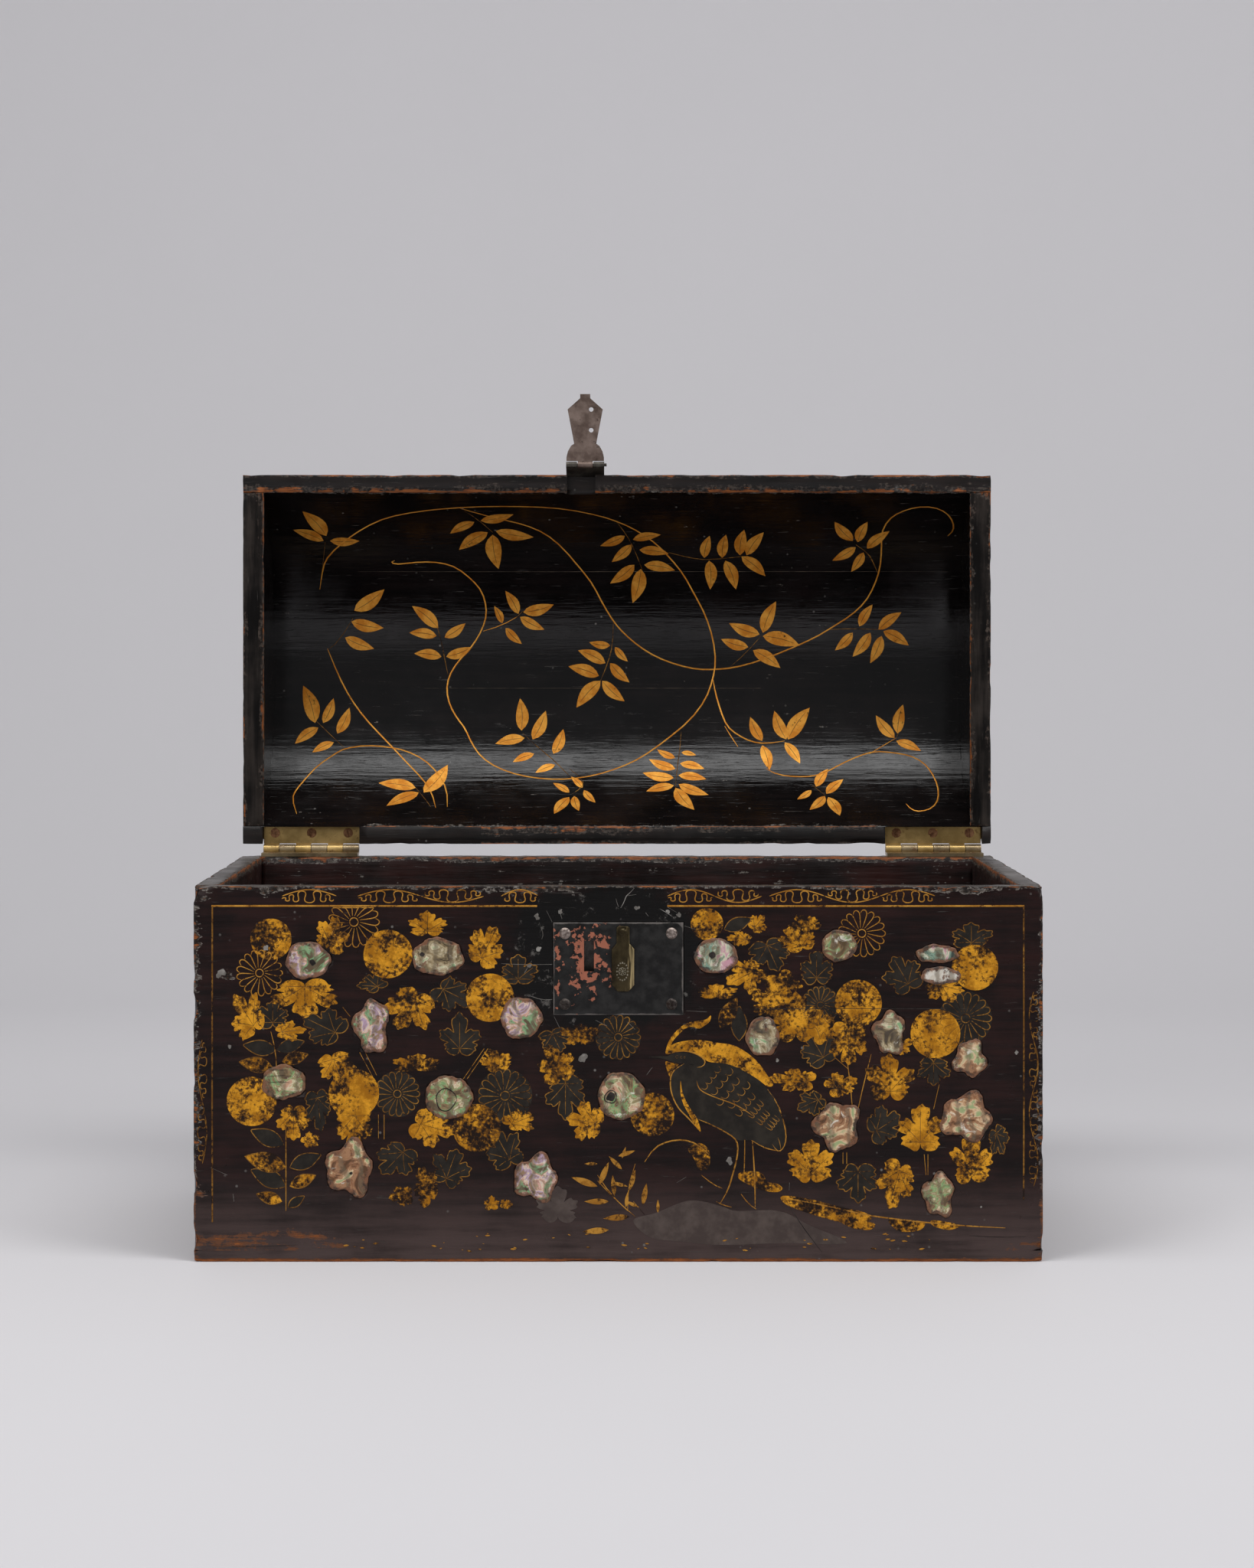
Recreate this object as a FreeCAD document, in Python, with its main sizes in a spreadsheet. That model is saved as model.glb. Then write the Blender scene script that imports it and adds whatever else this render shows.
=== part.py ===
import FreeCAD, Part
import math
import os
import re
import Sketcher

# A lacquered wooden coffer with a domed lid, drawn in millimetres with Z up.
# The origin is the middle of the underside, and the front looks along -Y.
# Lid pieces are drawn with the lid shut, and then turned about the hinge pins
# to the open position in which the coffer stands.

Vector = FreeCAD.Vector

SIZES = {
    # carcass boards
    "coffer_length": 450,
    "coffer_depth": 222,
    "carcass_height": 199,
    "bottom_thickness": 6,
    "wall_thickness": 10,
    "end_thickness": 12.5,
    "housing_depth": 4,
    "peg_radius": 1.5,
    "peg_length": 22,
    "peg_cover": 0.8,
    # domed lid
    "lid_rise": 75,
    "vault_thickness": 9.5,
    "rim_gap": 0.6,
    "lid_opening": 90,
    "lid_peg_radius": 1.2,
    "lid_peg_length": 20,
    # butt hinges
    "left_hinge_inset": 12.2,
    "right_hinge_inset": 5.7,
    "hinge_length": 57.6,
    "leaf_width": 10,
    "leaf_thickness": 2,
    "barrel_radius": 3.25,
    "barrel_standoff": 0.3,
    "knuckle_gap": 0.4,
    "hinge_pin_radius": 1.5,
    "running_clearance": 0.08,
    "recess_clearance": 0.3,
    "hinge_screw_spacing": 22,
    "hinge_screw_inset": 6.4,
    "hinge_screw_head_radius": 2.9,
    "hinge_screw_head_depth": 1.5,
    "hinge_screw_radius": 1.3,
    "hinge_screw_length": 8,
    "screw_slot_width": 0.8,
    "screw_slot_depth": 0.5,
    # hasp on the lid
    "hasp_offset": 19,
    "strap_length": 18,
    "strap_width": 22.8,
    "strap_thickness": 1.2,
    "strap_reach": 13,
    "strap_nail_spread": 12,
    "strap_nail_radius": 0.9,
    "strap_nail_length": 7,
    "strap_nail_head_radius": 1.9,
    "strap_nail_head_height": 0.6,
    "notch_width": 17,
    "notch_depth": 3,
    "notch_offset": 21.5,
    "hasp_barrel_radius": 1.9,
    "hasp_pin_radius": 0.9,
    "hasp_pin_overhang": 1.4,
    "hasp_knuckle_width": 9,
    "hasp_thickness": 1.4,
    "hasp_root_width": 22.4,
    "hasp_waist_width": 13.2,
    "hasp_shoulder_width": 21,
    "hasp_tab_width": 6,
    "hasp_lobe_height": 4.5,
    "hasp_waist_height": 12.6,
    "hasp_shoulder_height": 33.1,
    "hasp_neck_height": 39.8,
    "hasp_length": 42.3,
    "hasp_hole_radius": 1.35,
    "hasp_hole_offset": 3.6,
    "hasp_hole_low": 20.7,
    "hasp_hole_high": 33.1,
    # lock on the front board
    "lock_drop": 43.7,
    "lock_plate_width": 68.9,
    "lock_plate_height": 49,
    "lock_plate_thickness": 1.5,
    "lock_plate_let_in": 1,
    "lock_screw_spread": 56.5,
    "lock_screw_rise": 37.5,
    "lock_screw_head_radius": 3,
    "lock_screw_head_height": 0.8,
    "lock_screw_radius": 1.3,
    "lock_screw_length": 7,
    "mortise_width": 50,
    "mortise_height": 32,
    "back_plate_width": 64,
    "back_plate_height": 44,
    "back_plate_thickness": 1.2,
    "back_nail_spread": 58,
    "back_nail_rise": 18,
    "back_nail_radius": 0.8,
    "back_nail_length": 5,
    "back_nail_head_radius": 1.8,
    "back_nail_head_height": 0.6,
    "staple_slot_offset": 15.5,
    "staple_slot_width": 5.3,
    "staple_slot_height": 16.4,
    "staple_slot_drop": 37,
    "keyhole_offset": 2.5,
    "keyhole_drop": 49,
    "keyhole_radius": 2.4,
    "keyhole_slot_width": 2.2,
    "keyhole_slot_length": 7,
    "key_pin_radius": 1.2,
    "key_pin_length": 7,
    "bolt_length": 34,
    "bolt_height": 8,
    "bolt_thickness": 4,
    "bolt_setback": 1.6,
    "bolt_standoff": 1,
    "bolt_clearance": 0.3,
    "bolt_notch_radius": 4,
    "guide_width": 3,
    "guide_wall": 1.5,
    "guide_spread": 21,
    "spring_length": 13,
    "spring_thickness": 0.8,
    "spring_foot": 3,
    # swinging keyhole cover
    "cover_drop": 24.2,
    "cover_thickness": 1.3,
    "cover_gap": 0.15,
    "cover_neck_width": 7,
    "cover_body_width": 12,
    "cover_neck_length": 6,
    "cover_shoulder_length": 3,
    "cover_body_length": 19,
    "cover_crown": 3.2,
    "cover_toe": 3.5,
    "cover_rivet_radius": 1.1,
    "cover_rivet_head_radius": 2,
    "cover_rivet_head_height": 0.7,
    # mother-of-pearl inlay
    "pearl_thickness": 0.9,
    "pearl_proud": 0.25,
}

# Each inlay: name, the edge it is measured from, distance along the front from
# that edge (or from the middle), height above the floor, width, height, form
# of the outline, and turn of its lobes in degrees.
PEARLS = [
    ("pearl_flower_1", "left", 60.5, 159.7, 24.8, 20.2, "oval", 10),
    ("pearl_flower_2", "left", 129.4, 161.6, 28.0, 21.0, "oval", 40),
    ("pearl_leaf_1", "left", 94.5, 124.8, 21.7, 29.5, "leaf", 100),
    ("pearl_flower_3", "middle", -51.4, 129.2, 23.3, 21.7, "oval", 0),
    ("pearl_flower_4", "left", 47.7, 95.2, 23.3, 19.4, "oval", 25),
    ("pearl_flower_5", "left", 135.1, 87.2, 26.4, 23.3, "round", 0),
    ("pearl_flower_6", "middle", 1.6, 87.9, 25.6, 25.6, "round", 15),
    ("pearl_leaf_2", "left", 82.7, 49.5, 25.6, 33.4, "leaf", 80),
    ("pearl_leaf_3", "middle", -43.6, 44.4, 23.3, 28.0, "leaf", 75),
    ("pearl_flower_7", "middle", 51.7, 162.0, 23.3, 19.4, "round", 30),
    ("pearl_flower_8", "right", 108.1, 167.5, 19.4, 17.0, "round", 0),
    ("pearl_flower_9_upper", "right", 56.1, 163.2, 23.3, 10.2, "oval", 45),
    ("pearl_flower_9_lower", "right", 54.3, 151.6, 21.7, 9.6, "oval", 20),
    ("pearl_flower_10", "middle", 76.5, 119.4, 18.6, 21.0, "oval", 60),
    ("pearl_leaf_4", "right", 81.3, 121.3, 19.4, 24.8, "leaf", 95),
    ("pearl_leaf_5", "right", 38.7, 107.7, 19.4, 21.0, "leaf", 60),
    ("pearl_leaf_6", "right", 108.9, 72.0, 28.0, 28.0, "leaf", 110),
    ("pearl_leaf_7", "right", 40.6, 76.7, 28.0, 28.7, "leaf", 70),
    ("pearl_leaf_8", "right", 55.3, 35.6, 18.6, 25.6, "leaf", 90),
]

# Number of lobes round each form of inlay, and how deep they are cut.
ROUND_LOBES = 7
OVAL_LOBES = 6
LEAF_LOBES = 5
PEARL_FORMS = {
    "round": (ROUND_LOBES, 0.03),
    "oval": (OVAL_LOBES, 0.045),
    "leaf": (LEAF_LOBES, 0.14),
}

for pearl_name, edge, along, height_up, pearl_width, pearl_height, form, turn in PEARLS:
    SIZES[pearl_name + "_along"] = along
    SIZES[pearl_name + "_up"] = height_up
    SIZES[pearl_name + "_width"] = pearl_width
    SIZES[pearl_name + "_height"] = pearl_height

STAVES = 7
KNUCKLES = 6
CORNER_PEGS = 3
BOTTOM_PEGS = 4
SLOT_TURN_STEP = 55

doc = FreeCAD.newDocument("LacquerCoffer")
sheet = doc.addObject("Spreadsheet::Sheet", "Sizes")
for row, (alias, number) in enumerate(SIZES.items(), start=1):
    sheet.set(f"A{row}", alias)
    sheet.set(f"B{row}", str(number))
    sheet.setAlias(f"B{row}", alias)
doc.recompute()

# Formulas that several pieces share.
HALF_LENGTH = "(coffer_length/2)"
HALF_DEPTH = "(coffer_depth/2)"
LID_RIM_Z = "(carcass_height + rim_gap)"
VAULT_RADIUS = f"(({HALF_DEPTH}^2 + lid_rise^2)/(2*lid_rise))"
VAULT_Z = f"({LID_RIM_Z} + lid_rise - {VAULT_RADIUS})"
RIM_COS = f"({HALF_DEPTH}/{VAULT_RADIUS})"
RIM_SIN = f"(({VAULT_RADIUS} - lid_rise)/{VAULT_RADIUS})"
STAVE_SWEEP = f"(2*asin({RIM_COS})/{STAVES})"
HINGE_Y = f"({HALF_DEPTH} + barrel_standoff + barrel_radius)"
HINGE_Z = "(carcass_height + barrel_radius)"
BOARD_HEIGHT = "(carcass_height - bottom_thickness)"
END_LENGTH = "(coffer_depth - 2*wall_thickness + 2*housing_depth)"
PLATE_BACK_Y = f"(lock_plate_let_in - {HALF_DEPTH})"
PLATE_FACE_Y = f"({PLATE_BACK_Y} - lock_plate_thickness)"
INNER_FACE_Y = f"(wall_thickness - {HALF_DEPTH})"
LOCK_Z = "(carcass_height - lock_drop)"
BOLT_Z = "(carcass_height - staple_slot_drop)"
BOLT_NOSE_X = "(staple_slot_width/2 - staple_slot_offset + bolt_setback)"
BOLT_Y = f"({PLATE_BACK_Y} + bolt_standoff)"
KEYHOLE_Z = "(carcass_height - keyhole_drop)"
COVER_Z = "(carcass_height - cover_drop)"
COVER_FACE_Y = f"({PLATE_FACE_Y} - cover_gap)"
STRAP_MIDDLE = f"({VAULT_RADIUS} + strap_thickness/2)"
HASP_Y = f"(-{STRAP_MIDDLE}*{RIM_COS} - strap_reach*{RIM_SIN})"
HASP_Z = f"({VAULT_Z} + {STRAP_MIDDLE}*{RIM_SIN} - strap_reach*{RIM_COS})"

ALONG_X = FreeCAD.Rotation(Vector(0, 1, 0), 90)
ALONG_Y = FreeCAD.Rotation(Vector(1, 0, 0), -90)
ALONG_Z = FreeCAD.Rotation()
UPSIDE_DOWN = FreeCAD.Rotation(Vector(1, 0, 0), 180)
FACING_FRONT = FreeCAD.Rotation(Vector(1, 0, 0), 90)
AXIS_TO_X = FreeCAD.Rotation(Vector(1, 1, 1), 120)


def in_sheet(formula):
    """The formula with each named size pointing at its cell."""
    return re.sub(r"\b[a-z_][a-z0-9_]*\b",
                  lambda word: "Sizes." + word.group() if word.group() in SIZES else word.group(),
                  formula)


def value(formula):
    """The number that a formula comes to."""
    return float(sheet.evalExpression(in_sheet(formula)))


def bind(thing, formulas):
    """Binds properties of a document object to formulas over the sheet."""
    for name, formula in formulas.items():
        thing.setExpression(name, in_sheet(formula))


def place(thing, position, turn=ALONG_Z):
    """Puts a document object at three formulas, with a fixed turn."""
    thing.Placement = FreeCAD.Placement(Vector(0, 0, 0), turn)
    bind(thing, {"Placement.Base.x": position[0],
                 "Placement.Base.y": position[1],
                 "Placement.Base.z": position[2]})
    return thing


def turn_about_vault(thing, angle, start="0"):
    """Turns a document object about the middle line of the lid's dome."""
    thing.Placement = FreeCAD.Placement(Vector(0, 0, 0), FreeCAD.Rotation(Vector(1, 0, 0), 45))
    bind(thing, {"Placement.Rotation.Angle": angle,
                 "Placement.Base.x": start,
                 "Placement.Base.z": VAULT_Z})
    return thing


def open_with_lid(thing):
    """Turns a piece drawn with the lid shut to where the open lid holds it."""
    thing.Placement = FreeCAD.Placement(Vector(0, 0, 0), FreeCAD.Rotation(Vector(-1, 0, 0), 45))
    bind(thing, {
        "Placement.Rotation.Angle": "lid_opening",
        "Placement.Base.y": f"{HINGE_Y} - {HINGE_Y}*cos(lid_opening) - {HINGE_Z}*sin(lid_opening)",
        "Placement.Base.z": f"{HINGE_Z} + {HINGE_Y}*sin(lid_opening) - {HINGE_Z}*cos(lid_opening)"})
    return thing


def block(name, size, corner):
    """A rectangular block from its size and its lowest corner."""
    thing = doc.addObject("Part::Box", name)
    bind(thing, {"Length": size[0], "Width": size[1], "Height": size[2]})
    return place(thing, corner)


def rod(name, radius, length, start, turn=ALONG_Z):
    """A round rod from the middle of its first end."""
    thing = doc.addObject("Part::Cylinder", name)
    bind(thing, {"Radius": radius, "Height": length})
    return place(thing, start, turn)


def taper(name, first_radius, last_radius, length, start, turn=ALONG_Z):
    """A tapered rod from the middle of its first end."""
    thing = doc.addObject("Part::Cone", name)
    bind(thing, {"Radius1": first_radius, "Radius2": last_radius, "Height": length})
    return place(thing, start, turn)


def joined(name, pieces):
    thing = doc.addObject("Part::MultiFuse", name)
    thing.Shapes = pieces
    return thing


def grouped(name, pieces):
    thing = doc.addObject("Part::Compound", name)
    thing.Links = pieces
    return thing


def cut(name, base, tools):
    thing = doc.addObject("Part::Cut", name)
    thing.Base = base
    thing.Tool = tools[0] if len(tools) == 1 else joined(name + "_cutters", tools)
    return thing


def ring_sector(name, inner_radius, outer_radius, sweep, length):
    """A curved slab round the X axis, from +Y towards +Z, between two radii."""
    solids = []
    for part, radius in (("outside", outer_radius), ("hollow", inner_radius)):
        sector = doc.addObject("Part::Cylinder", f"{name}_{part}")
        bind(sector, {"Radius": radius, "Height": length, "Angle": sweep})
        sector.Placement.Rotation = AXIS_TO_X
        solids.append(sector)
    return cut(name, solids[0], [solids[1]])


def sketch_on(body, plane_role):
    """A new sketch on one of a body's own origin planes."""
    sketch = body.newObject("Sketcher::SketchObject", body.Name + "_sketch")
    plane = [feature for feature in body.Origin.OriginFeatures if feature.Role == plane_role][0]
    sketch.AttachmentSupport = [(plane, "")]
    sketch.MapMode = "FlatFace"
    return sketch


def draw_outline(sketch, corners):
    """Draws a closed outline; each corner is two formulas, and a third entry
    is the formula of the radius of an arc that runs from it to the next."""
    points = [Vector(value(corner[0]), value(corner[1]), 0) for corner in corners]
    for number, corner in enumerate(corners):
        start = points[number]
        end = points[(number + 1) % len(points)]
        if len(corner) == 2:
            sketch.addGeometry(Part.LineSegment(start, end), False)
            continue
        radius = value(corner[2])
        chord = end - start
        to_centre = math.sqrt(radius ** 2 - (chord.Length / 2) ** 2)
        inward = Vector(-chord.y, chord.x, 0).normalize()
        middle = (start + end) / 2
        sketch.addGeometry(Part.Arc(start, middle - inward * (radius - to_centre), end), False)
        bound = sketch.addConstraint(Sketcher.Constraint("Radius", number, radius))
        sketch.renameConstraint(bound, f"arc_{number}")
        bind(sketch, {f"Constraints.arc_{number}": corner[2]})
    for number in range(len(corners)):
        following = (number + 1) % len(corners)
        sketch.addConstraint(Sketcher.Constraint("Coincident", number, 2, following, 1))
    for number, corner in enumerate(corners):
        for kind, formula, letter in (("DistanceX", corner[0], "x"), ("DistanceY", corner[1], "y")):
            bound = sketch.addConstraint(Sketcher.Constraint(kind, -1, 1, number, 1, value(formula)))
            sketch.renameConstraint(bound, f"corner_{number}_{letter}")
            bind(sketch, {f"Constraints.corner_{number}_{letter}": formula})


def plate(name, plane_role, corners, thickness, both_ways=False):
    """A flat plate: a body with one outline padded to a thickness."""
    body = doc.addObject("PartDesign::Body", name)
    sketch = sketch_on(body, plane_role)
    draw_outline(sketch, corners)
    pad = body.newObject("PartDesign::Pad", name + "_pad")
    pad.Profile = sketch
    pad.SideType = "Symmetric" if both_ways else "One side"
    bind(pad, {"Length": thickness})
    sketch.Visibility = False
    return body


def mirrored(corners):
    """The right half of an outline followed by the same half on the left."""
    left_side = []
    for across, up in reversed(corners):
        left_side.append((f"-({across})", up))
    return list(corners) + left_side


def slotted_screw(name, position, turn, slot_turn, head, shank):
    """A wood screw whose head's top is at the position and which points along
    -Z before it is turned. Returns the slotted screw and its plain cutter."""
    head_low, head_high, head_start, head_height = head
    radius, length = shank
    whole_turn = turn.multiply(FreeCAD.Rotation(Vector(0, 0, 1), slot_turn))
    head_solid = taper(name + "_head", head_low, head_high, head_height, ("0", "0", head_start))
    shank_solid = taper(name + "_shank", "0.3", radius, length, ("0", "0", f"-({length})"))
    cutter = joined(name + "_blank", [head_solid, shank_solid])
    place(cutter, position, whole_turn)
    top = f"({head_start} + {head_height})"
    across = f"(2.4*max({head_low}, {head_high}))"
    slot = block(name + "_slot_block", (across, "screw_slot_width", "screw_slot_depth*2"),
                 (f"-{across}/2", "-screw_slot_width/2", f"{top} - screw_slot_depth"))
    placed_slot = place(grouped(name + "_slot", [slot]), position, whole_turn)
    return cut(name, cutter, [placed_slot]), cutter


nodes = {}


def keep(node_name, thing):
    """Records a finished piece under the name of its file."""
    thing.Label = node_name
    nodes[node_name] = thing
    return thing


# Mother-of-pearl pieces, each with a lobed outline, let into the front board.
pearl_solids = []
for pearl_name, edge, along, height_up, pearl_width, pearl_height, form, turn in PEARLS:
    lobes, lobe_depth = PEARL_FORMS[form]
    measured = value(pearl_name + "_along")
    if edge == "left":
        across = measured - value(HALF_LENGTH)
    elif edge == "right":
        across = value(HALF_LENGTH) - measured
    else:
        across = measured
    # Cut shell is uneven: a second, three-sided wave makes the lobes unequal.
    reaches = []
    for step in range(8 * lobes):
        angle = 2 * math.pi * step / (8 * lobes)
        lobe = math.cos(lobes * (angle - math.radians(turn)))
        unevenness = math.cos(3 * angle + math.radians(2 * turn))
        reach = 1 + lobe_depth * (0.8 * lobe + 0.7 * unevenness)
        reaches.append((reach * math.cos(angle), reach * math.sin(angle)))
    widest = max(abs(across_reach) for across_reach, up_reach in reaches)
    tallest = max(abs(up_reach) for across_reach, up_reach in reaches)
    half_width = value(pearl_name + "_width") / 2
    half_height = value(pearl_name + "_height") / 2
    rim = []
    for across_reach, up_reach in reaches:
        rim.append(Vector(across_reach / widest * half_width, 0, up_reach / tallest * half_height))
    outline = Part.BSplineCurve()
    outline.interpolate(Points=rim, PeriodicFlag=True)
    face = Part.Face(Part.Wire([outline.toShape()]))
    pearl = doc.addObject("Part::Feature", pearl_name)
    pearl.Shape = face.extrude(Vector(0, value("pearl_thickness"), 0))
    pearl.Placement = FreeCAD.Placement(
        Vector(across, value(f"-{HALF_DEPTH} - pearl_proud"), value(pearl_name + "_up")), ALONG_Z)
    pearl_solids.append(keep(pearl_name, pearl))

# Bamboo pegs that hold the front and back boards to the ends.
corner_pegs = []
for side, end_x in (("left", f"end_thickness/2 - {HALF_LENGTH}"), ("right", f"{HALF_LENGTH} - end_thickness/2")):
    for face, start_y in (("front", f"peg_cover - {HALF_DEPTH}"), ("back", f"{HALF_DEPTH} - peg_cover - peg_length")):
        for row in range(CORNER_PEGS):
            height = f"bottom_thickness + {BOARD_HEIGHT}*{(row + 0.5) / CORNER_PEGS}"
            corner_pegs.append(rod(f"corner_peg_{side}_{face}_{row}", "peg_radius", "peg_length",
                                   (end_x, start_y, height), ALONG_Y))
keep("corner_pegs", grouped("corner_peg_group", corner_pegs))

# Bamboo pegs that hold the bottom board under the front and back boards.
bottom_pegs = []
for face, row_y in (("front", f"{INNER_FACE_Y} - wall_thickness/2"), ("back", f"wall_thickness/2 - {INNER_FACE_Y}")):
    for number in range(BOTTOM_PEGS):
        along = f"coffer_length*{(number + 0.5) / BOTTOM_PEGS - 0.5}"
        bottom_pegs.append(rod(f"bottom_peg_{face}_{number}", "peg_radius", "peg_length",
                               (along, row_y, "peg_cover")))
keep("bottom_pegs", grouped("bottom_peg_group", bottom_pegs))

# The bottom board covers the whole underside.
bottom_blank = block("bottom_blank", ("coffer_length", "coffer_depth", "bottom_thickness"),
                     (f"-{HALF_LENGTH}", f"-{HALF_DEPTH}", "0"))
keep("bottom_board", cut("bottom_cut", bottom_blank, bottom_pegs))

def housed_board(face, low_y, housing_y):
    """A front or back board with a housing at each end for the end boards."""
    blank = block(f"{face}_blank", ("coffer_length", "wall_thickness", BOARD_HEIGHT),
                  (f"-{HALF_LENGTH}", low_y, "bottom_thickness"))
    housings = []
    for side, low_x in (("left", f"-{HALF_LENGTH}"), ("right", f"{HALF_LENGTH} - end_thickness")):
        housings.append(block(f"{face}_{side}_housing", ("end_thickness", "housing_depth", BOARD_HEIGHT),
                              (low_x, housing_y, "bottom_thickness")))
    pegs = [peg for peg in corner_pegs + bottom_pegs if f"_{face}_" in peg.Name]
    return cut(f"{face}_housed", blank, housings + pegs)


# The lock's iron plate, with its staple slot and keyhole.
plate_blank = block("lock_plate_blank", ("lock_plate_width", "lock_plate_thickness", "lock_plate_height"),
                    ("-lock_plate_width/2", PLATE_FACE_Y, f"{LOCK_Z} - lock_plate_height/2"))
staple_slot = block("staple_slot", ("staple_slot_width", "lock_plate_thickness*3", "staple_slot_height"),
                    ("-staple_slot_offset - staple_slot_width/2", f"{PLATE_FACE_Y} - lock_plate_thickness",
                     f"{BOLT_Z} - staple_slot_height/2"))
keyhole_eye = rod("keyhole_eye", "keyhole_radius", "lock_plate_thickness*3",
                  ("keyhole_offset", f"{PLATE_FACE_Y} - lock_plate_thickness", KEYHOLE_Z), ALONG_Y)
keyhole_slot = block("keyhole_slot", ("keyhole_slot_width", "lock_plate_thickness*3", "keyhole_slot_length"),
                     ("keyhole_offset - keyhole_slot_width/2", f"{PLATE_FACE_Y} - lock_plate_thickness",
                      f"{KEYHOLE_Z} - keyhole_slot_length"))

# Four round-headed screws hold the plate to the board.
lock_screws = []
lock_screw_cutters = []
LOCK_SCREW_HEAD = ("lock_screw_head_radius", "lock_screw_head_radius*0.7", "0", "lock_screw_head_height")
for side, across in (("left", "-lock_screw_spread/2"), ("right", "lock_screw_spread/2")):
    for level, up in (("low", "-lock_screw_rise/2"), ("high", "lock_screw_rise/2")):
        screw, cutter = slotted_screw(f"lock_screw_{side}_{level}", (across, PLATE_FACE_Y, f"{LOCK_Z} + {up}"),
                                      FACING_FRONT, SLOT_TURN_STEP * len(lock_screws), LOCK_SCREW_HEAD,
                                      ("lock_screw_radius", "lock_screw_length"))
        lock_screws.append(screw)
        lock_screw_cutters.append(cutter)
keep("lock_plate_screws", grouped("lock_screw_group", lock_screws))

# The rivet that the keyhole cover swings on.
rivet_shank = rod("cover_rivet_shank", "cover_rivet_radius",
                  "cover_gap*2 + cover_thickness + lock_plate_thickness + bolt_standoff/2",
                  ("keyhole_offset", f"{COVER_FACE_Y} - cover_thickness - cover_gap", COVER_Z), ALONG_Y)
rivet_head = taper("cover_rivet_head", "cover_rivet_head_radius*0.6", "cover_rivet_head_radius",
                   "cover_rivet_head_height",
                   ("keyhole_offset", f"{COVER_FACE_Y} - cover_thickness - cover_gap - cover_rivet_head_height",
                    COVER_Z), ALONG_Y)
rivet = keep("keyhole_cover_rivet", joined("cover_rivet", [rivet_shank, rivet_head]))
lock_plate = cut("lock_plate_cut", plate_blank,
                 [staple_slot, keyhole_eye, keyhole_slot, rivet] + lock_screw_cutters)
keep("lock_plate", lock_plate)

# The bottle-shaped brass cover that hangs over the keyhole.
cover_body = plate("keyhole_cover_body", "XZ_Plane", mirrored([
    ("cover_neck_width/2 - 1", "cover_crown"),
    ("cover_neck_width/2", "cover_crown - 1"),
    ("cover_neck_width/2", "-cover_neck_length"),
    ("cover_body_width/2", "-cover_neck_length - cover_shoulder_length"),
    ("cover_body_width/2", "-cover_neck_length - cover_shoulder_length - cover_body_length"),
    ("cover_body_width/4", "-cover_neck_length - cover_shoulder_length - cover_body_length - cover_toe")]),
    "cover_thickness")
place(cover_body, ("keyhole_offset", COVER_FACE_Y, COVER_Z))
cover_bore = rod("cover_bore", "cover_rivet_radius + running_clearance", "cover_thickness*3",
                 ("keyhole_offset", f"{COVER_FACE_Y} - cover_thickness*2", COVER_Z), ALONG_Y)
keep("keyhole_cover", cut("keyhole_cover_cut", cover_body, [cover_bore]))

# The iron plate on the inside of the front board that closes the lock.
back_plate = block("back_plate_blank", ("back_plate_width", "back_plate_thickness", "back_plate_height"),
                   ("-back_plate_width/2", INNER_FACE_Y, f"{LOCK_Z} - back_plate_height/2"))
back_nails = []
for side, across in (("left", "-back_nail_spread/2"), ("right", "back_nail_spread/2")):
    for level, up in (("low", "-back_nail_rise/2"), ("high", "back_nail_rise/2")):
        name = f"back_nail_{side}_{level}"
        height = f"{LOCK_Z} + {up}"
        nail_face = f"{INNER_FACE_Y} + back_plate_thickness"
        nail_shank = rod(name + "_shank", "back_nail_radius", "back_nail_length",
                         (across, f"{nail_face} - back_nail_length", height), ALONG_Y)
        nail_head = taper(name + "_head", "back_nail_head_radius", "back_nail_head_radius*0.6",
                          "back_nail_head_height", (across, nail_face, height), ALONG_Y)
        back_nails.append(joined(name, [nail_shank, nail_head]))
keep("lock_back_nails", grouped("back_nail_group", back_nails))
keep("lock_back_plate", cut("back_plate_cut", back_plate, back_nails))

# The round pin that the barrel of the key fits over.
keep("key_pin", rod("key_pin_rod", "key_pin_radius", "key_pin_length",
                    ("keyhole_offset", f"{INNER_FACE_Y} - key_pin_length", KEYHOLE_Z), ALONG_Y))

# The bolt slides across the staple slot behind the plate.
bolt_blank = block("bolt_blank", ("bolt_length", "bolt_thickness", "bolt_height"),
                   (BOLT_NOSE_X, BOLT_Y, f"{BOLT_Z} - bolt_height/2"))
bolt_notch = rod("bolt_notch", "bolt_notch_radius", "bolt_thickness*3",
                 (f"{BOLT_NOSE_X} + bolt_length/2", f"{BOLT_Y} - bolt_thickness", f"{BOLT_Z} - bolt_height/2"),
                 ALONG_Y)
keep("lock_bolt", cut("lock_bolt_cut", bolt_blank, [bolt_notch]))

# Two iron loops behind the plate guide the bolt.
guides = []
GUIDE_DEPTH = "(bolt_standoff + bolt_thickness + bolt_clearance + guide_wall)"
for side, across in (("left", "-guide_spread/2"), ("right", "guide_spread/2")):
    middle_x = f"({BOLT_NOSE_X} + bolt_length/2 + {across})"
    loop = block(f"guide_{side}_loop", ("guide_width", GUIDE_DEPTH, "bolt_height + 2*bolt_clearance + 2*guide_wall"),
                 (f"{middle_x} - guide_width/2", PLATE_BACK_Y,
                  f"{BOLT_Z} - bolt_height/2 - bolt_clearance - guide_wall"))
    way = block(f"guide_{side}_way", ("guide_width*3", "bolt_thickness + 2*bolt_clearance",
                                      "bolt_height + 2*bolt_clearance"),
                (f"{middle_x} - guide_width*1.5", f"{BOLT_Y} - bolt_clearance",
                 f"{BOLT_Z} - bolt_height/2 - bolt_clearance"))
    guides.append(cut(f"guide_{side}", loop, [way]))
keep("bolt_guides", grouped("guide_group", guides))

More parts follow.
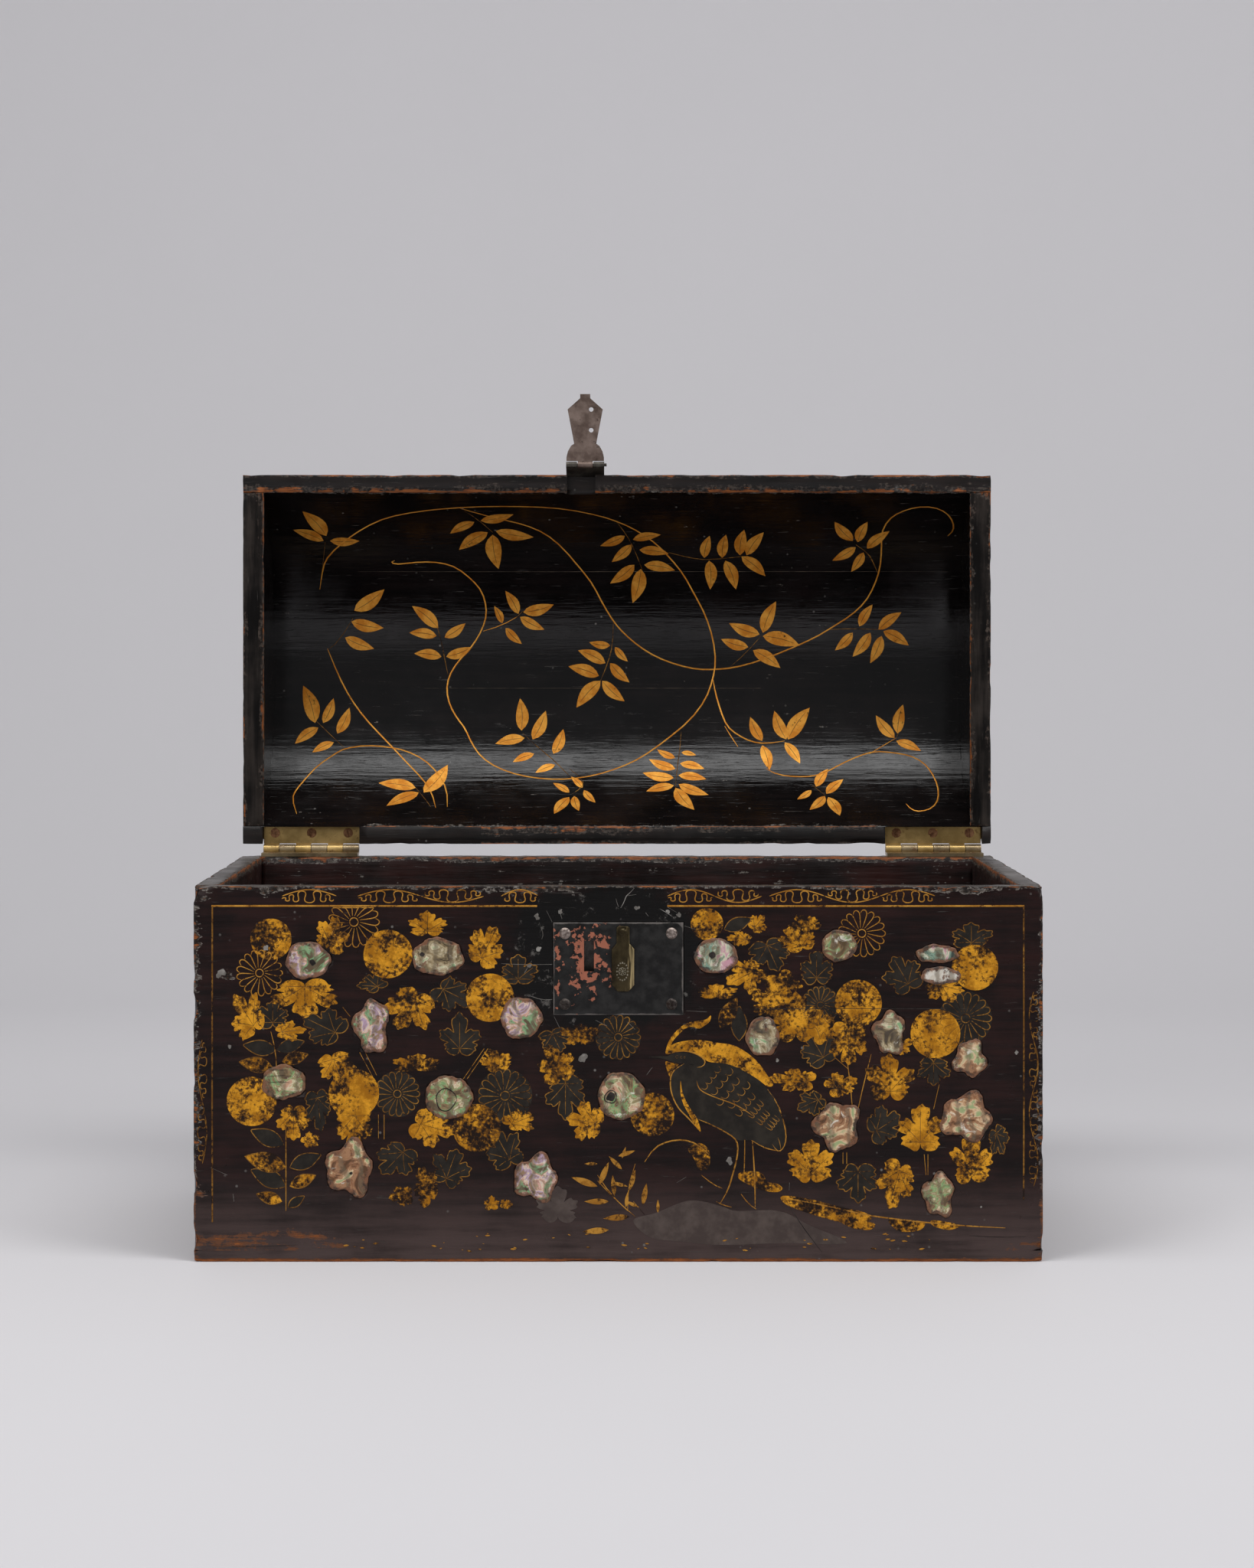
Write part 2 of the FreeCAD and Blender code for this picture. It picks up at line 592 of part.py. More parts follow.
# A flat spring on a foot behind the plate lies over the bolt.
spring_x = f"({BOLT_NOSE_X} + bolt_length/2 - spring_length/2)"
spring_z = f"({BOLT_Z} + bolt_height/2 + bolt_clearance)"
spring_strip = block("spring_strip", ("spring_length", "bolt_thickness*0.7", "spring_thickness"),
                     (spring_x, BOLT_Y, spring_z))
spring_foot = block("spring_foot_block", ("spring_foot", "bolt_standoff + bolt_thickness*0.7", "spring_foot"),
                    (f"{spring_x} + spring_length - spring_foot", PLATE_BACK_Y, spring_z))
keep("bolt_spring", joined("bolt_spring_whole", [spring_strip, spring_foot]))

# The front board carries the lock in a mortise and the pearl in shallow beds.
front_housed = housed_board("front", f"-{HALF_DEPTH}", f"{INNER_FACE_Y} - housing_depth")
plate_bed = block("plate_bed", ("lock_plate_width", "lock_plate_let_in + 1", "lock_plate_height"),
                  ("-lock_plate_width/2", f"{PLATE_BACK_Y} - lock_plate_let_in - 1",
                   f"{LOCK_Z} - lock_plate_height/2"))
mortise = block("mortise", ("mortise_width", "wall_thickness*2", "mortise_height"),
                ("-mortise_width/2", f"-{HALF_DEPTH} - wall_thickness/2", f"{LOCK_Z} - mortise_height/2"))
front_cutters = [plate_bed, mortise, rivet] + lock_screw_cutters + back_nails
front_with_lock = cut("front_with_lock", front_housed, front_cutters)
keep("front_board", cut("front_with_pearl", front_with_lock, pearl_solids))

# Two brass butt hinges. One leaf lies on the carcass rim, the other lies in a
# recess in the lid's rim, and the knuckles turn on an iron pin behind the coffer.
HINGE_HEAD = ("hinge_screw_radius", "hinge_screw_head_radius", "-hinge_screw_head_depth", "hinge_screw_head_depth")
SCREW_SHANK = ("hinge_screw_radius", "hinge_screw_length")
SCREW_Y = f"({HALF_DEPTH} - hinge_screw_inset)"
CARCASS_LEAF_Z = "carcass_height"
LID_LEAF_Z = "(carcass_height + 2*barrel_radius - leaf_thickness)"
KNUCKLE_PITCH = f"(hinge_length/{KNUCKLES})"


def hinge_leaf(name, start_x, leaf_z, knuckle_numbers, bore, screw_cutters):
    """One leaf of a butt hinge with its own knuckles, bore and screw holes."""
    solids = [block(name + "_flat", ("hinge_length", "leaf_width", "leaf_thickness"),
                    (start_x, f"{HALF_DEPTH} - leaf_width", leaf_z))]
    for number in knuckle_numbers:
        knuckle_x = f"{start_x} + {KNUCKLE_PITCH}*{number} + knuckle_gap/2"
        knuckle_length = f"{KNUCKLE_PITCH} - knuckle_gap"
        solids.append(rod(f"{name}_knuckle_{number}", "barrel_radius", knuckle_length,
                          (knuckle_x, HINGE_Y, HINGE_Z), ALONG_X))
        solids.append(block(f"{name}_neck_{number}",
                            (knuckle_length, f"{HINGE_Y} - {HALF_DEPTH}", "leaf_thickness"),
                            (knuckle_x, HALF_DEPTH, leaf_z)))
    bore_rod = rod(name + "_bore", bore, "hinge_length*2",
                   (f"{start_x} - hinge_length/2", HINGE_Y, HINGE_Z), ALONG_X)
    return cut(name + "_cut", joined(name + "_solid", solids), [bore_rod] + screw_cutters)


carcass_screws = []
carcass_screw_cutters = []
lid_screws = []
lid_screw_cutters = []
hinge_recesses = []
for side, start_x in (("left", f"(left_hinge_inset - {HALF_LENGTH})"),
                      ("right", f"({HALF_LENGTH} - right_hinge_inset - hinge_length)")):
    box_cutters = []
    lid_cutters = []
    for number in (-1, 0, 1):
        screw_x = f"{start_x} + hinge_length/2 + {number}*hinge_screw_spacing"
        slot_turn = SLOT_TURN_STEP * len(carcass_screws)
        screw, cutter = slotted_screw(f"carcass_screw_{side}_{number + 2}",
                                      (screw_x, SCREW_Y, f"{CARCASS_LEAF_Z} + leaf_thickness"), ALONG_Z,
                                      slot_turn, HINGE_HEAD, SCREW_SHANK)
        carcass_screws.append(screw)
        box_cutters.append(cutter)
        screw, cutter = slotted_screw(f"lid_screw_{side}_{number + 2}", (screw_x, SCREW_Y, LID_LEAF_Z),
                                      UPSIDE_DOWN, slot_turn, HINGE_HEAD, SCREW_SHANK)
        lid_screws.append(screw)
        lid_cutters.append(cutter)
    carcass_screw_cutters += box_cutters
    lid_screw_cutters += lid_cutters
    keep(f"{side}_hinge_carcass_leaf",
         hinge_leaf(f"{side}_carcass_leaf", start_x, CARCASS_LEAF_Z, (1, 3, 5), "hinge_pin_radius", box_cutters))
    keep(f"{side}_hinge_lid_leaf", open_with_lid(
        hinge_leaf(f"{side}_lid_leaf", start_x, LID_LEAF_Z, (0, 2, 4),
                   "hinge_pin_radius + running_clearance", lid_cutters)))
    keep(f"{side}_hinge_pin", rod(f"{side}_hinge_pin_rod", "hinge_pin_radius", "hinge_length",
                                  (start_x, HINGE_Y, HINGE_Z), ALONG_X))
    hinge_recesses.append(block(f"{side}_hinge_recess",
                                ("hinge_length + 2*recess_clearance", "leaf_width*3",
                                 f"carcass_height + 2*barrel_radius - {LID_RIM_Z} + lid_rise"),
                                (f"{start_x} - recess_clearance",
                                 f"{HALF_DEPTH} - leaf_width - recess_clearance", f"{LID_RIM_Z} - lid_rise")))
keep("hinge_carcass_screws", grouped("carcass_screw_group", carcass_screws))
keep("hinge_lid_screws", open_with_lid(grouped("lid_screw_group", lid_screws)))

# The back board carries the hinges' lower leaves on its top edge.
back_housed = housed_board("back", f"{HALF_DEPTH} - wall_thickness", f"-{INNER_FACE_Y}")
keep("back_board", cut("back_with_hinges", back_housed, carcass_screw_cutters))

# End boards stand in housings in the front and back boards.
for side, low_x in (("left", f"-{HALF_LENGTH}"), ("right", f"{HALF_LENGTH} - end_thickness")):
    end_blank = block(f"{side}_end_blank", ("end_thickness", END_LENGTH, BOARD_HEIGHT),
                      (low_x, f"-{END_LENGTH}/2", "bottom_thickness"))
    end_pegs = [peg for peg in corner_pegs if f"_{side}_" in peg.Name]
    keep(f"{side}_end_board", cut(f"{side}_end_cut", end_blank, end_pegs + carcass_screw_cutters))

# The hasp's strap follows the front of the lid and runs on to its knuckles.
RIM_ANGLE = f"(180 deg - asin({RIM_SIN}))"
STRAP_SWEEP = f"(strap_length/{VAULT_RADIUS}*180/pi*1 deg)"
STRAP_X = "(-hasp_offset - strap_width/2)"
strap_curve = ring_sector("strap_curve", VAULT_RADIUS, f"{VAULT_RADIUS} + strap_thickness", STRAP_SWEEP,
                          "strap_width")
turn_about_vault(strap_curve, f"{RIM_ANGLE} - {STRAP_SWEEP}", STRAP_X)
strap_tongue = block("strap_tongue", ("strap_width", "strap_thickness", "strap_reach"),
                     (STRAP_X, VAULT_RADIUS, "0"))
side_knuckle = "((strap_width - hasp_knuckle_width)/2 - knuckle_gap)"
strap_barrels = []
for side, start_x in (("left", STRAP_X), ("right", f"{STRAP_X} + strap_width - {side_knuckle}")):
    strap_barrels.append(rod(f"strap_barrel_{side}", "hasp_barrel_radius", side_knuckle,
                             (start_x, STRAP_MIDDLE, "strap_reach"), ALONG_X))
strap_gap = block("strap_gap", ("hasp_knuckle_width + 2*knuckle_gap", "hasp_barrel_radius*4",
                                "hasp_barrel_radius*2 + 2*knuckle_gap"),
                  (f"{STRAP_X} + {side_knuckle}", f"{STRAP_MIDDLE} - hasp_barrel_radius*2",
                   "strap_reach - hasp_barrel_radius - knuckle_gap"))
hasp_pin_rod = rod("hasp_pin_rod", "hasp_pin_radius", "strap_width + hasp_pin_overhang",
                   (STRAP_X, STRAP_MIDDLE, "strap_reach"), ALONG_X)
strap_tongue_cut = cut("strap_tongue_cut", strap_tongue, [strap_gap])
strap_end = joined("strap_end", [strap_tongue_cut] + strap_barrels)
placed_strap_end = turn_about_vault(cut("strap_end_bored", strap_end, [hasp_pin_rod]), RIM_ANGLE)
placed_pin = turn_about_vault(grouped("hasp_pin_placed", [hasp_pin_rod]), RIM_ANGLE)
keep("hasp_pin", open_with_lid(grouped("hasp_pin_group", [placed_pin])))

# Two nails hold the strap to the lid.
strap_nails = []
for side, across in (("left", "-strap_nail_spread/2"), ("right", "strap_nail_spread/2")):
    nail_x = f"-hasp_offset + {across}"
    face_y = f"{VAULT_RADIUS} + strap_thickness"
    nail_shank = rod(f"strap_nail_{side}_shank", "strap_nail_radius", "strap_nail_length",
                     (nail_x, f"{face_y} - strap_nail_length", "0"), ALONG_Y)
    nail_head = taper(f"strap_nail_{side}_head", "strap_nail_head_radius", "strap_nail_head_radius*0.6",
                      "strap_nail_head_height", (nail_x, face_y, "0"), ALONG_Y)
    nail = joined(f"strap_nail_{side}", [nail_shank, nail_head])
    strap_nails.append(turn_about_vault(nail, f"{RIM_ANGLE} - 0.6*{STRAP_SWEEP}"))
keep("hasp_strap_nails", open_with_lid(grouped("strap_nail_group", strap_nails)))
strap_whole = joined("strap_whole", [strap_curve, placed_strap_end])
keep("hasp_strap", open_with_lid(cut("strap_cut", strap_whole, strap_nails)))

# The kite-shaped hasp with two empty staple holes and a finger tab at its tip.
hasp_plate = plate("hasp_plate", "XY_Plane", mirrored([
    ("hasp_root_width/2", "-hasp_barrel_radius - knuckle_gap"),
    ("hasp_root_width/2", "-hasp_lobe_height"),
    ("hasp_root_width*0.46", "-(hasp_lobe_height*0.55 + hasp_waist_height*0.45)"),
    ("hasp_root_width*0.2 + hasp_waist_width*0.3", "-(hasp_lobe_height*0.15 + hasp_waist_height*0.85)"),
    ("hasp_waist_width/2", "-hasp_waist_height"),
    ("hasp_shoulder_width/2", "-hasp_shoulder_height"),
    ("hasp_tab_width/2", "-hasp_neck_height"),
    ("hasp_tab_width/2", "-hasp_length")]), "hasp_thickness", both_ways=True)
place(hasp_plate, ("-hasp_offset", HASP_Y, HASP_Z))
hasp_neck = block("hasp_neck", ("hasp_knuckle_width", "hasp_barrel_radius + 3*knuckle_gap", "hasp_thickness"),
                  ("-hasp_offset - hasp_knuckle_width/2", f"{HASP_Y} - hasp_barrel_radius - 3*knuckle_gap",
                   f"{HASP_Z} - hasp_thickness/2"))
hasp_knuckle = rod("hasp_knuckle", "hasp_barrel_radius", "hasp_knuckle_width",
                   ("-hasp_offset - hasp_knuckle_width/2", HASP_Y, HASP_Z), ALONG_X)
hasp_roll = rod("hasp_roll", "hasp_thickness", "hasp_tab_width",
                ("-hasp_offset - hasp_tab_width/2", f"{HASP_Y} - hasp_length + hasp_thickness",
                 f"{HASP_Z} + hasp_thickness/2"), ALONG_X)
hasp_solid = joined("hasp_solid", [hasp_plate, hasp_neck, hasp_knuckle, hasp_roll])
hasp_cutters = [rod("hasp_bore", "hasp_pin_radius + running_clearance", "hasp_knuckle_width*2",
                    ("-hasp_offset - hasp_knuckle_width", HASP_Y, HASP_Z), ALONG_X)]
for level in ("low", "high"):
    hasp_cutters.append(rod(f"hasp_hole_{level}_bore", "hasp_hole_radius", "hasp_thickness*3",
                            ("hasp_hole_offset - hasp_offset", f"{HASP_Y} - hasp_hole_{level}",
                             f"{HASP_Z} - hasp_thickness*1.5")))
keep("hasp", open_with_lid(cut("hasp_cut", hasp_solid, hasp_cutters)))

# Everything below the plane of the lid's rim, which the dome and its ends stop at.
below_rim = block("below_rim", ("coffer_length*2", "coffer_depth*2", "lid_rise*4"),
                  ("-coffer_length", "-coffer_depth", f"{LID_RIM_Z} - lid_rise*4"))
hasp_notch = block("hasp_notch", ("notch_width", "vault_thickness*3", "notch_depth + lid_rise"),
                   ("-notch_offset - notch_width/2", f"-{HALF_DEPTH} - vault_thickness",
                    f"{LID_RIM_Z} - lid_rise"))

# Bamboo pegs fix each stave of the dome to the two end boards.
peg_pairs = []
BACK_RIM_ANGLE = f"asin({RIM_SIN})"
for number in range(STAVES):
    pair = []
    for side, across in (("left", f"end_thickness/2 - {HALF_LENGTH}"), ("right", f"{HALF_LENGTH} - end_thickness/2")):
        pair.append(rod(f"lid_peg_{side}_{number + 1}", "lid_peg_radius", "lid_peg_length",
                        (across, f"{VAULT_RADIUS} - peg_cover - lid_peg_length", "0"), ALONG_Y))
    peg_pairs.append(turn_about_vault(grouped(f"lid_peg_pair_{number + 1}", pair),
                                      f"{BACK_RIM_ANGLE} + {STAVE_SWEEP}*{number + 0.5}"))
keep("lid_pegs", open_with_lid(grouped("lid_peg_group", peg_pairs)))

# The dome is coopered from staves, numbered from the back rim to the front rim.
for number in range(STAVES):
    stave = ring_sector(f"stave_{number + 1}", f"{VAULT_RADIUS} - vault_thickness", VAULT_RADIUS, STAVE_SWEEP,
                        "coffer_length")
    turn_about_vault(stave, f"{BACK_RIM_ANGLE} + {STAVE_SWEEP}*{number}", f"-{HALF_LENGTH}")
    cutters = [peg_pairs[number]]
    if number == 0:
        cutters += [below_rim] + hinge_recesses + lid_screw_cutters
    if number == STAVES - 1:
        cutters += [below_rim, hasp_notch] + strap_nails
    keep(f"lid_stave_{number + 1}", open_with_lid(cut(f"stave_{number + 1}_cut", stave, cutters)))

# Each end of the lid is a board cut to the inner curve of the dome.
for side, low_x in (("left", f"-{HALF_LENGTH}"), ("right", f"{HALF_LENGTH} - end_thickness")):
    disc = rod(f"lid_{side}_disc", f"{VAULT_RADIUS} - vault_thickness", "end_thickness",
               (low_x, "0", VAULT_Z), ALONG_X)
    keep(f"lid_{side}_end", open_with_lid(
        cut(f"lid_{side}_end_cut", disc, [below_rim] + hinge_recesses + peg_pairs)))

doc.recompute()

for thing in doc.Objects:
    for state in thing.State:
        if state in ("Invalid", "Error"):
            raise RuntimeError(f"{thing.Name} did not compute")
os.makedirs("parts", exist_ok=True)
for node_name, thing in nodes.items():
    if thing.Shape.isNull() or not thing.Shape.isValid():
        raise RuntimeError(f"{node_name} has no valid shape")
    thing.Shape.exportStep(f"parts/{node_name}.step")
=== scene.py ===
import math
import random

import bmesh
import bpy
import numpy as np
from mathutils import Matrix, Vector, noise
from mathutils.geometry import interpolate_bezier


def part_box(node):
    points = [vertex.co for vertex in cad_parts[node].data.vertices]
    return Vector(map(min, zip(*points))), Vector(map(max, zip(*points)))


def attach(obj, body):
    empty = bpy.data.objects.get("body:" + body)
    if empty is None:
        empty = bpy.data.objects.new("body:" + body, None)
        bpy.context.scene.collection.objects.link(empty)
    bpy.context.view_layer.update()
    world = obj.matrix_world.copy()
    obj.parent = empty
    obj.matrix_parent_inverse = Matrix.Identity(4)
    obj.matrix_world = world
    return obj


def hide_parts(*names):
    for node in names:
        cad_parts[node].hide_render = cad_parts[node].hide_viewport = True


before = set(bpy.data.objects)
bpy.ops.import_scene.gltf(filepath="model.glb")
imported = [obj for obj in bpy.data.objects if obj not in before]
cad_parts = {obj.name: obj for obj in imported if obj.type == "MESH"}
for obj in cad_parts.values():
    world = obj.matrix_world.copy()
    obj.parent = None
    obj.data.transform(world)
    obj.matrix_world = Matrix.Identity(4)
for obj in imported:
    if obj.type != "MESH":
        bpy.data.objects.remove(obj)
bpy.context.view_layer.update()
MM = 0.001


# Carcass: five softwood boards under brown-black lacquer, the ends housed in the front and back and
# pegged. Long use has rounded and chipped every outer edge, in places down to the orange wood.
def add_node(tree, kind, sockets=None, **settings):
    """One shader node, with its settings, and its sockets set or linked."""
    made = tree.nodes.new(kind)
    for setting, value in settings.items():
        setattr(made, setting, value)
    for socket, value in (sockets or {}).items():
        if isinstance(value, bpy.types.NodeSocket):
            tree.links.new(value, made.inputs[socket])
        else:
            made.inputs[socket].default_value = value
    return made


def start_finish(name):
    """A new material: its node tree, its shader and the object's own coordinates."""
    material = bpy.data.materials.new(name)
    material.use_nodes = True
    tree = material.node_tree
    place = add_node(tree, "ShaderNodeTexCoord").outputs["Object"]
    return material, tree, tree.nodes["Principled BSDF"], place


def stretched(tree, place, by, turn=(0, 0, 0)):
    """The coordinates squeezed along the axes, so that a pattern runs with the grain."""
    return add_node(tree, "ShaderNodeMapping", {"Vector": place, "Scale": by, "Rotation": turn}).outputs[0]


def cloud(tree, place, scale, detail=5, rough=0.6, distort=0.0):
    sockets = {"Vector": place, "Scale": scale, "Detail": detail, "Roughness": rough, "Distortion": distort}
    return add_node(tree, "ShaderNodeTexNoise", sockets).outputs["Fac"]


def between(tree, value, low, high, to_low=0.0, to_high=1.0):
    """A smooth step from low to high."""
    sockets = {"Value": value, "From Min": low, "From Max": high, "To Min": to_low, "To Max": to_high}
    return add_node(tree, "ShaderNodeMapRange", sockets, interpolation_type="SMOOTHSTEP").outputs[0]


def combine(tree, first, second, operation="ADD"):
    """Two values added, or joined by another operation."""
    return add_node(tree, "ShaderNodeMath", {0: first, 1: second}, operation=operation).outputs[0]


def tint(tree, share, under, over):
    """Colour under, covered with colour over by the share."""
    def colour(value):
        return value if isinstance(value, bpy.types.NodeSocket) else (*value, 1)
    sockets = {0: share, 6: colour(under), 7: colour(over)}
    return add_node(tree, "ShaderNodeMix", sockets, data_type="RGBA").outputs[2]


RELIEF = 0.6


def relief(tree, shader, height, depth):
    bump = add_node(tree, "ShaderNodeBump", {"Height": height, "Strength": RELIEF, "Distance": depth})
    tree.links.new(bump.outputs[0], shader.inputs["Normal"])


def coat(tree, shader, colour, roughness, sheen=0.5):
    """Joins a colour and a roughness to the shader, and sets how strongly it shines."""
    tree.links.new(colour, shader.inputs["Base Color"])
    tree.links.new(roughness, shader.inputs["Roughness"])
    shader.inputs["Specular IOR Level"].default_value = sheen


def swing(tree, value, size):
    """A pattern from 0 to 1 turned into a plus or minus about nothing."""
    sockets = {0: value, 1: size, 2: -size / 2}
    return add_node(tree, "ShaderNodeMath", sockets, operation="MULTIPLY_ADD").outputs[0]


def far_from(tree, place, spot):
    """How far each place is from one spot."""
    return add_node(tree, "ShaderNodeVectorMath", {0: place, 1: spot}, operation="DISTANCE").outputs["Value"]


LACQUER_DARK, LACQUER_BROWN = (0.0070, 0.0036, 0.0034), (0.023, 0.0086, 0.0075)
RIM_DARK, RIM_GREY = (0.040, 0.033, 0.029), (0.105, 0.088, 0.076)
INSIDE_DARK, INSIDE_RED = (0.009, 0.0048, 0.0042), (0.033, 0.0105, 0.0085)
SCRATCH_GREY, SPECK_GREY, SCUFF_GREY = (0.065, 0.058, 0.052), (0.16, 0.15, 0.14), (0.13, 0.12, 0.11)
GROUND_DARK, GROUND_GREY = (0.016, 0.012, 0.010), (0.075, 0.060, 0.050)
# The pale colour of broken edges is partly crumbs and partly a painted highlight where those edges catch the
# light.
PALE_CRUMBS_AND_GLINT, BROKEN_BROWN = (0.24, 0.215, 0.19), (0.140, 0.058, 0.030)
WOOD_ORANGE, WOOD_DEEP = (0.36, 0.115, 0.030), (0.15, 0.045, 0.016)
# The dust-and-sheen colour is partly dust and partly a painted reflection of the pale floor.
LOCK_PATCH_BLACK, DUST_AND_FLOOR_SHEEN = (0.0045, 0.0040, 0.0038), (0.074, 0.050, 0.046)
LOCK_PATCH_SPREAD, LOCK_PATCH_CENTRE = (20.0, 0.0, 25.0), (-0.16, 0.0, 4.05)
SOUND_LEFT, SOUND_RIGHT, SOUND_TOP = (-0.084, -0.081), (0.005, 0.05), (0.222, 0.228)
LONG_GRAIN, DEEP_GRAIN = (12, 160, 160), (160, 12, 160)
FOOT_WEAR = 0.55


def lacquer(name, dark, brown, grain, gloss=0.26, sheen=0.5, wear=0.0, edge_wear=0.8,
            broken_edge=PALE_CRUMBS_AND_GLINT, lock_patch=False, dusty=False, repaired=False):
    """Old lacquer: cloudy colour, hairline scratches with the grain, specks, and wear down to the wood."""
    material, tree, shader, place = start_finish(name)
    along_grain = stretched(tree, place, grain)
    apart = add_node(tree, "ShaderNodeSeparateXYZ", {0: place})
    across, height = apart.outputs["X"], apart.outputs["Z"]
    clouds = combine(tree, cloud(tree, place, 26, 6), cloud(tree, along_grain, 1.3, 5))
    mottle = combine(tree, clouds, 0.5, "MULTIPLY")
    colour = tint(tree, between(tree, mottle, 0.40, 0.64), dark, brown)
    if dusty:
        # Towards the floor the colour turns paler and browner: partly dust, partly a painted reflection of
        # the pale floor.
        low_down = between(tree, height, 0.002, 0.055, 1.0, 0.0)
        dust_and_sheen = combine(tree, low_down, between(tree, mottle, 0.2, 0.6), "MULTIPLY")
        colour = tint(tree, dust_and_sheen, colour, DUST_AND_FLOOR_SHEEN)
    if lock_patch:
        spread = stretched(tree, place, LOCK_PATCH_SPREAD)
        reach = far_from(tree, spread, LOCK_PATCH_CENTRE)
        ragged = combine(tree, reach, swing(tree, cloud(tree, place, 60), 0.9))
        colour = tint(tree, between(tree, ragged, 0.85, 1.15, 1.0, 0.0), colour, LOCK_PATCH_BLACK)
        near = combine(tree, ragged, 0.07, "MULTIPLY")
        scuffed = combine(tree, cloud(tree, place, 140, 8, 0.75), near, "SUBTRACT")
        colour = tint(tree, between(tree, scuffed, 0.525, 0.60, 0.0, 0.8), colour, SCUFF_GREY)
    scratch = between(tree, cloud(tree, along_grain, 5, 3), 0.66, 0.74, 0.0, 0.5)
    colour = tint(tree, scratch, colour, SCRATCH_GREY)
    specks = add_node(tree, "ShaderNodeTexVoronoi", {"Vector": place, "Scale": 170}).outputs["Distance"]
    few = between(tree, cloud(tree, place, 35, 3), 0.56, 0.66)
    speck = combine(tree, between(tree, specks, 0.06, 0.16, 1.0, 0.0), few, "MULTIPLY")
    colour = tint(tree, speck, colour, SPECK_GREY)
    edge = add_node(tree, "ShaderNodeAttribute", attribute_name="wear").outputs["Fac"]
    streak = swing(tree, cloud(tree, along_grain, 3, 6, 0.65), 1.4)
    crumb = swing(tree, cloud(tree, place, 110, 6, 0.7), 1.3)
    chance = combine(tree, combine(tree, streak, crumb), wear)
    rubbed = combine(tree, combine(tree, edge, edge_wear, "MULTIPLY"), chance)
    crumbs = between(tree, cloud(tree, place, 420, 4), 0.44, 0.60)
    ground_colour = tint(tree, crumbs, GROUND_DARK, GROUND_GREY)
    if dusty:
        near_floor = between(tree, height, 0.02, 0.06, 1.0, 0.0)
        broken_edge = tint(tree, near_floor, broken_edge, BROKEN_BROWN)
        ground_colour = tint(tree, near_floor, ground_colour, BROKEN_BROWN)
        rubbed = combine(tree, rubbed, between(tree, height, 0.0, 0.003, FOOT_WEAR, 0.0))
    if repaired:
        left = between(tree, across, *SOUND_LEFT, 1.0, 0.0)
        right = between(tree, across, *SOUND_RIGHT, 0.0, 0.22)
        below_top = between(tree, height, *SOUND_TOP, 1.0, 0.0)
        sound = combine(tree, combine(tree, left, right), below_top, "MULTIPLY")
        rubbed = combine(tree, rubbed, sound, "SUBTRACT")
    # A pale band runs along the rim of broken lacquer. With the default pale colour, it is partly crumbs and
    # partly a painted highlight of the broken edges catching the light.
    broken = between(tree, rubbed, 0.50, 0.56)
    ground = between(tree, rubbed, 0.58, 0.66)
    bare = between(tree, rubbed, 0.76, 0.88)
    colour = tint(tree, combine(tree, broken, crumbs, "MULTIPLY"), colour, broken_edge)
    colour = tint(tree, ground, colour, ground_colour)
    fibre = between(tree, cloud(tree, along_grain, 14, 4), 0.35, 0.65)
    colour = tint(tree, bare, colour, tint(tree, fibre, WOOD_ORANGE, WOOD_DEEP))
    dull = combine(tree, combine(tree, ground, scratch, "MAXIMUM"), 0.35, "MULTIPLY")
    polish = between(tree, cloud(tree, place, 45), 0.3, 0.7, gloss, gloss + 0.16)
    coat(tree, shader, colour, combine(tree, dull, polish), sheen)
    grooves = combine(tree, scratch, cloud(tree, along_grain, 2, 4))
    lost = combine(tree, combine(tree, ground, bare), grooves)
    relief(tree, shader, combine(tree, lost, -1.0, "MULTIPLY"), 0.0004)
    return material


front_lacquer = lacquer("front_lacquer", LACQUER_DARK, LACQUER_BROWN, LONG_GRAIN, sheen=0.16,
                        lock_patch=True, dusty=True)
back_lacquer = lacquer("back_lacquer", LACQUER_DARK, LACQUER_BROWN, LONG_GRAIN, sheen=0.3, dusty=True)
side_lacquer = lacquer("side_lacquer", LACQUER_DARK, LACQUER_BROWN, DEEP_GRAIN, sheen=0.3, dusty=True)
rim_lacquer = lacquer("rim_lacquer", RIM_DARK, RIM_GREY, LONG_GRAIN, gloss=0.34, wear=0.05)
inside_lacquer = lacquer("inside_lacquer", INSIDE_DARK, INSIDE_RED, LONG_GRAIN, gloss=0.3, wear=0.26)
bottom_lacquer = lacquer("bottom_lacquer", LACQUER_DARK, LACQUER_BROWN, LONG_GRAIN, gloss=0.4, sheen=0.2,
                         dusty=True)

BOTTOM_JOINT, RIM_HEIGHT = 6 * MM, 199 * MM
FRONT_FACE = -111.0
TOUCH, WELD, FLAT_ANGLE = 0.01 * MM, 0.002 * MM, 0.01
FACING = 0.7
FINE_STEP, CUT_STEP = 3 * MM, 5 * MM
EDGE_ROUND = 0.8 * MM
WEAR_REACH = 3.5 * MM
SCAR_WEAR, SCAR_REACH = 0.92, 6 * MM
CHIP_REACH = 1.8 * MM
CHIP_DEPTH = 1.5 * MM
CHIP_LENGTH_PER_M, NIBBLE_PER_M = 70, 330
CHIP_FROM, CHIP_SHARE, NIBBLE_SHARE = 0.12, 2.0, 0.35
BITE_RAGGED = 0.5


def merged_copy(node):
    """A copy of a node's mesh, with its loose triangles joined into whole faces."""
    shape = bmesh.new()
    shape.from_mesh(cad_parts[node].data)
    bmesh.ops.remove_doubles(shape, verts=shape.verts, dist=WELD)
    bmesh.ops.dissolve_limit(shape, angle_limit=FLAT_ANGLE, verts=shape.verts, edges=shape.edges)
    return shape


def round_off(shape, edges, radius, segments=2):
    bmesh.ops.bevel(shape, geom=edges, offset=radius, offset_type="OFFSET", segments=segments, profile=0.5,
                    affect="EDGES", material=-1)


def cut_across(shape, point, normal):
    everything = shape.verts[:] + shape.edges[:] + shape.faces[:]
    bmesh.ops.bisect_plane(shape, geom=everything, plane_co=point, plane_no=normal)


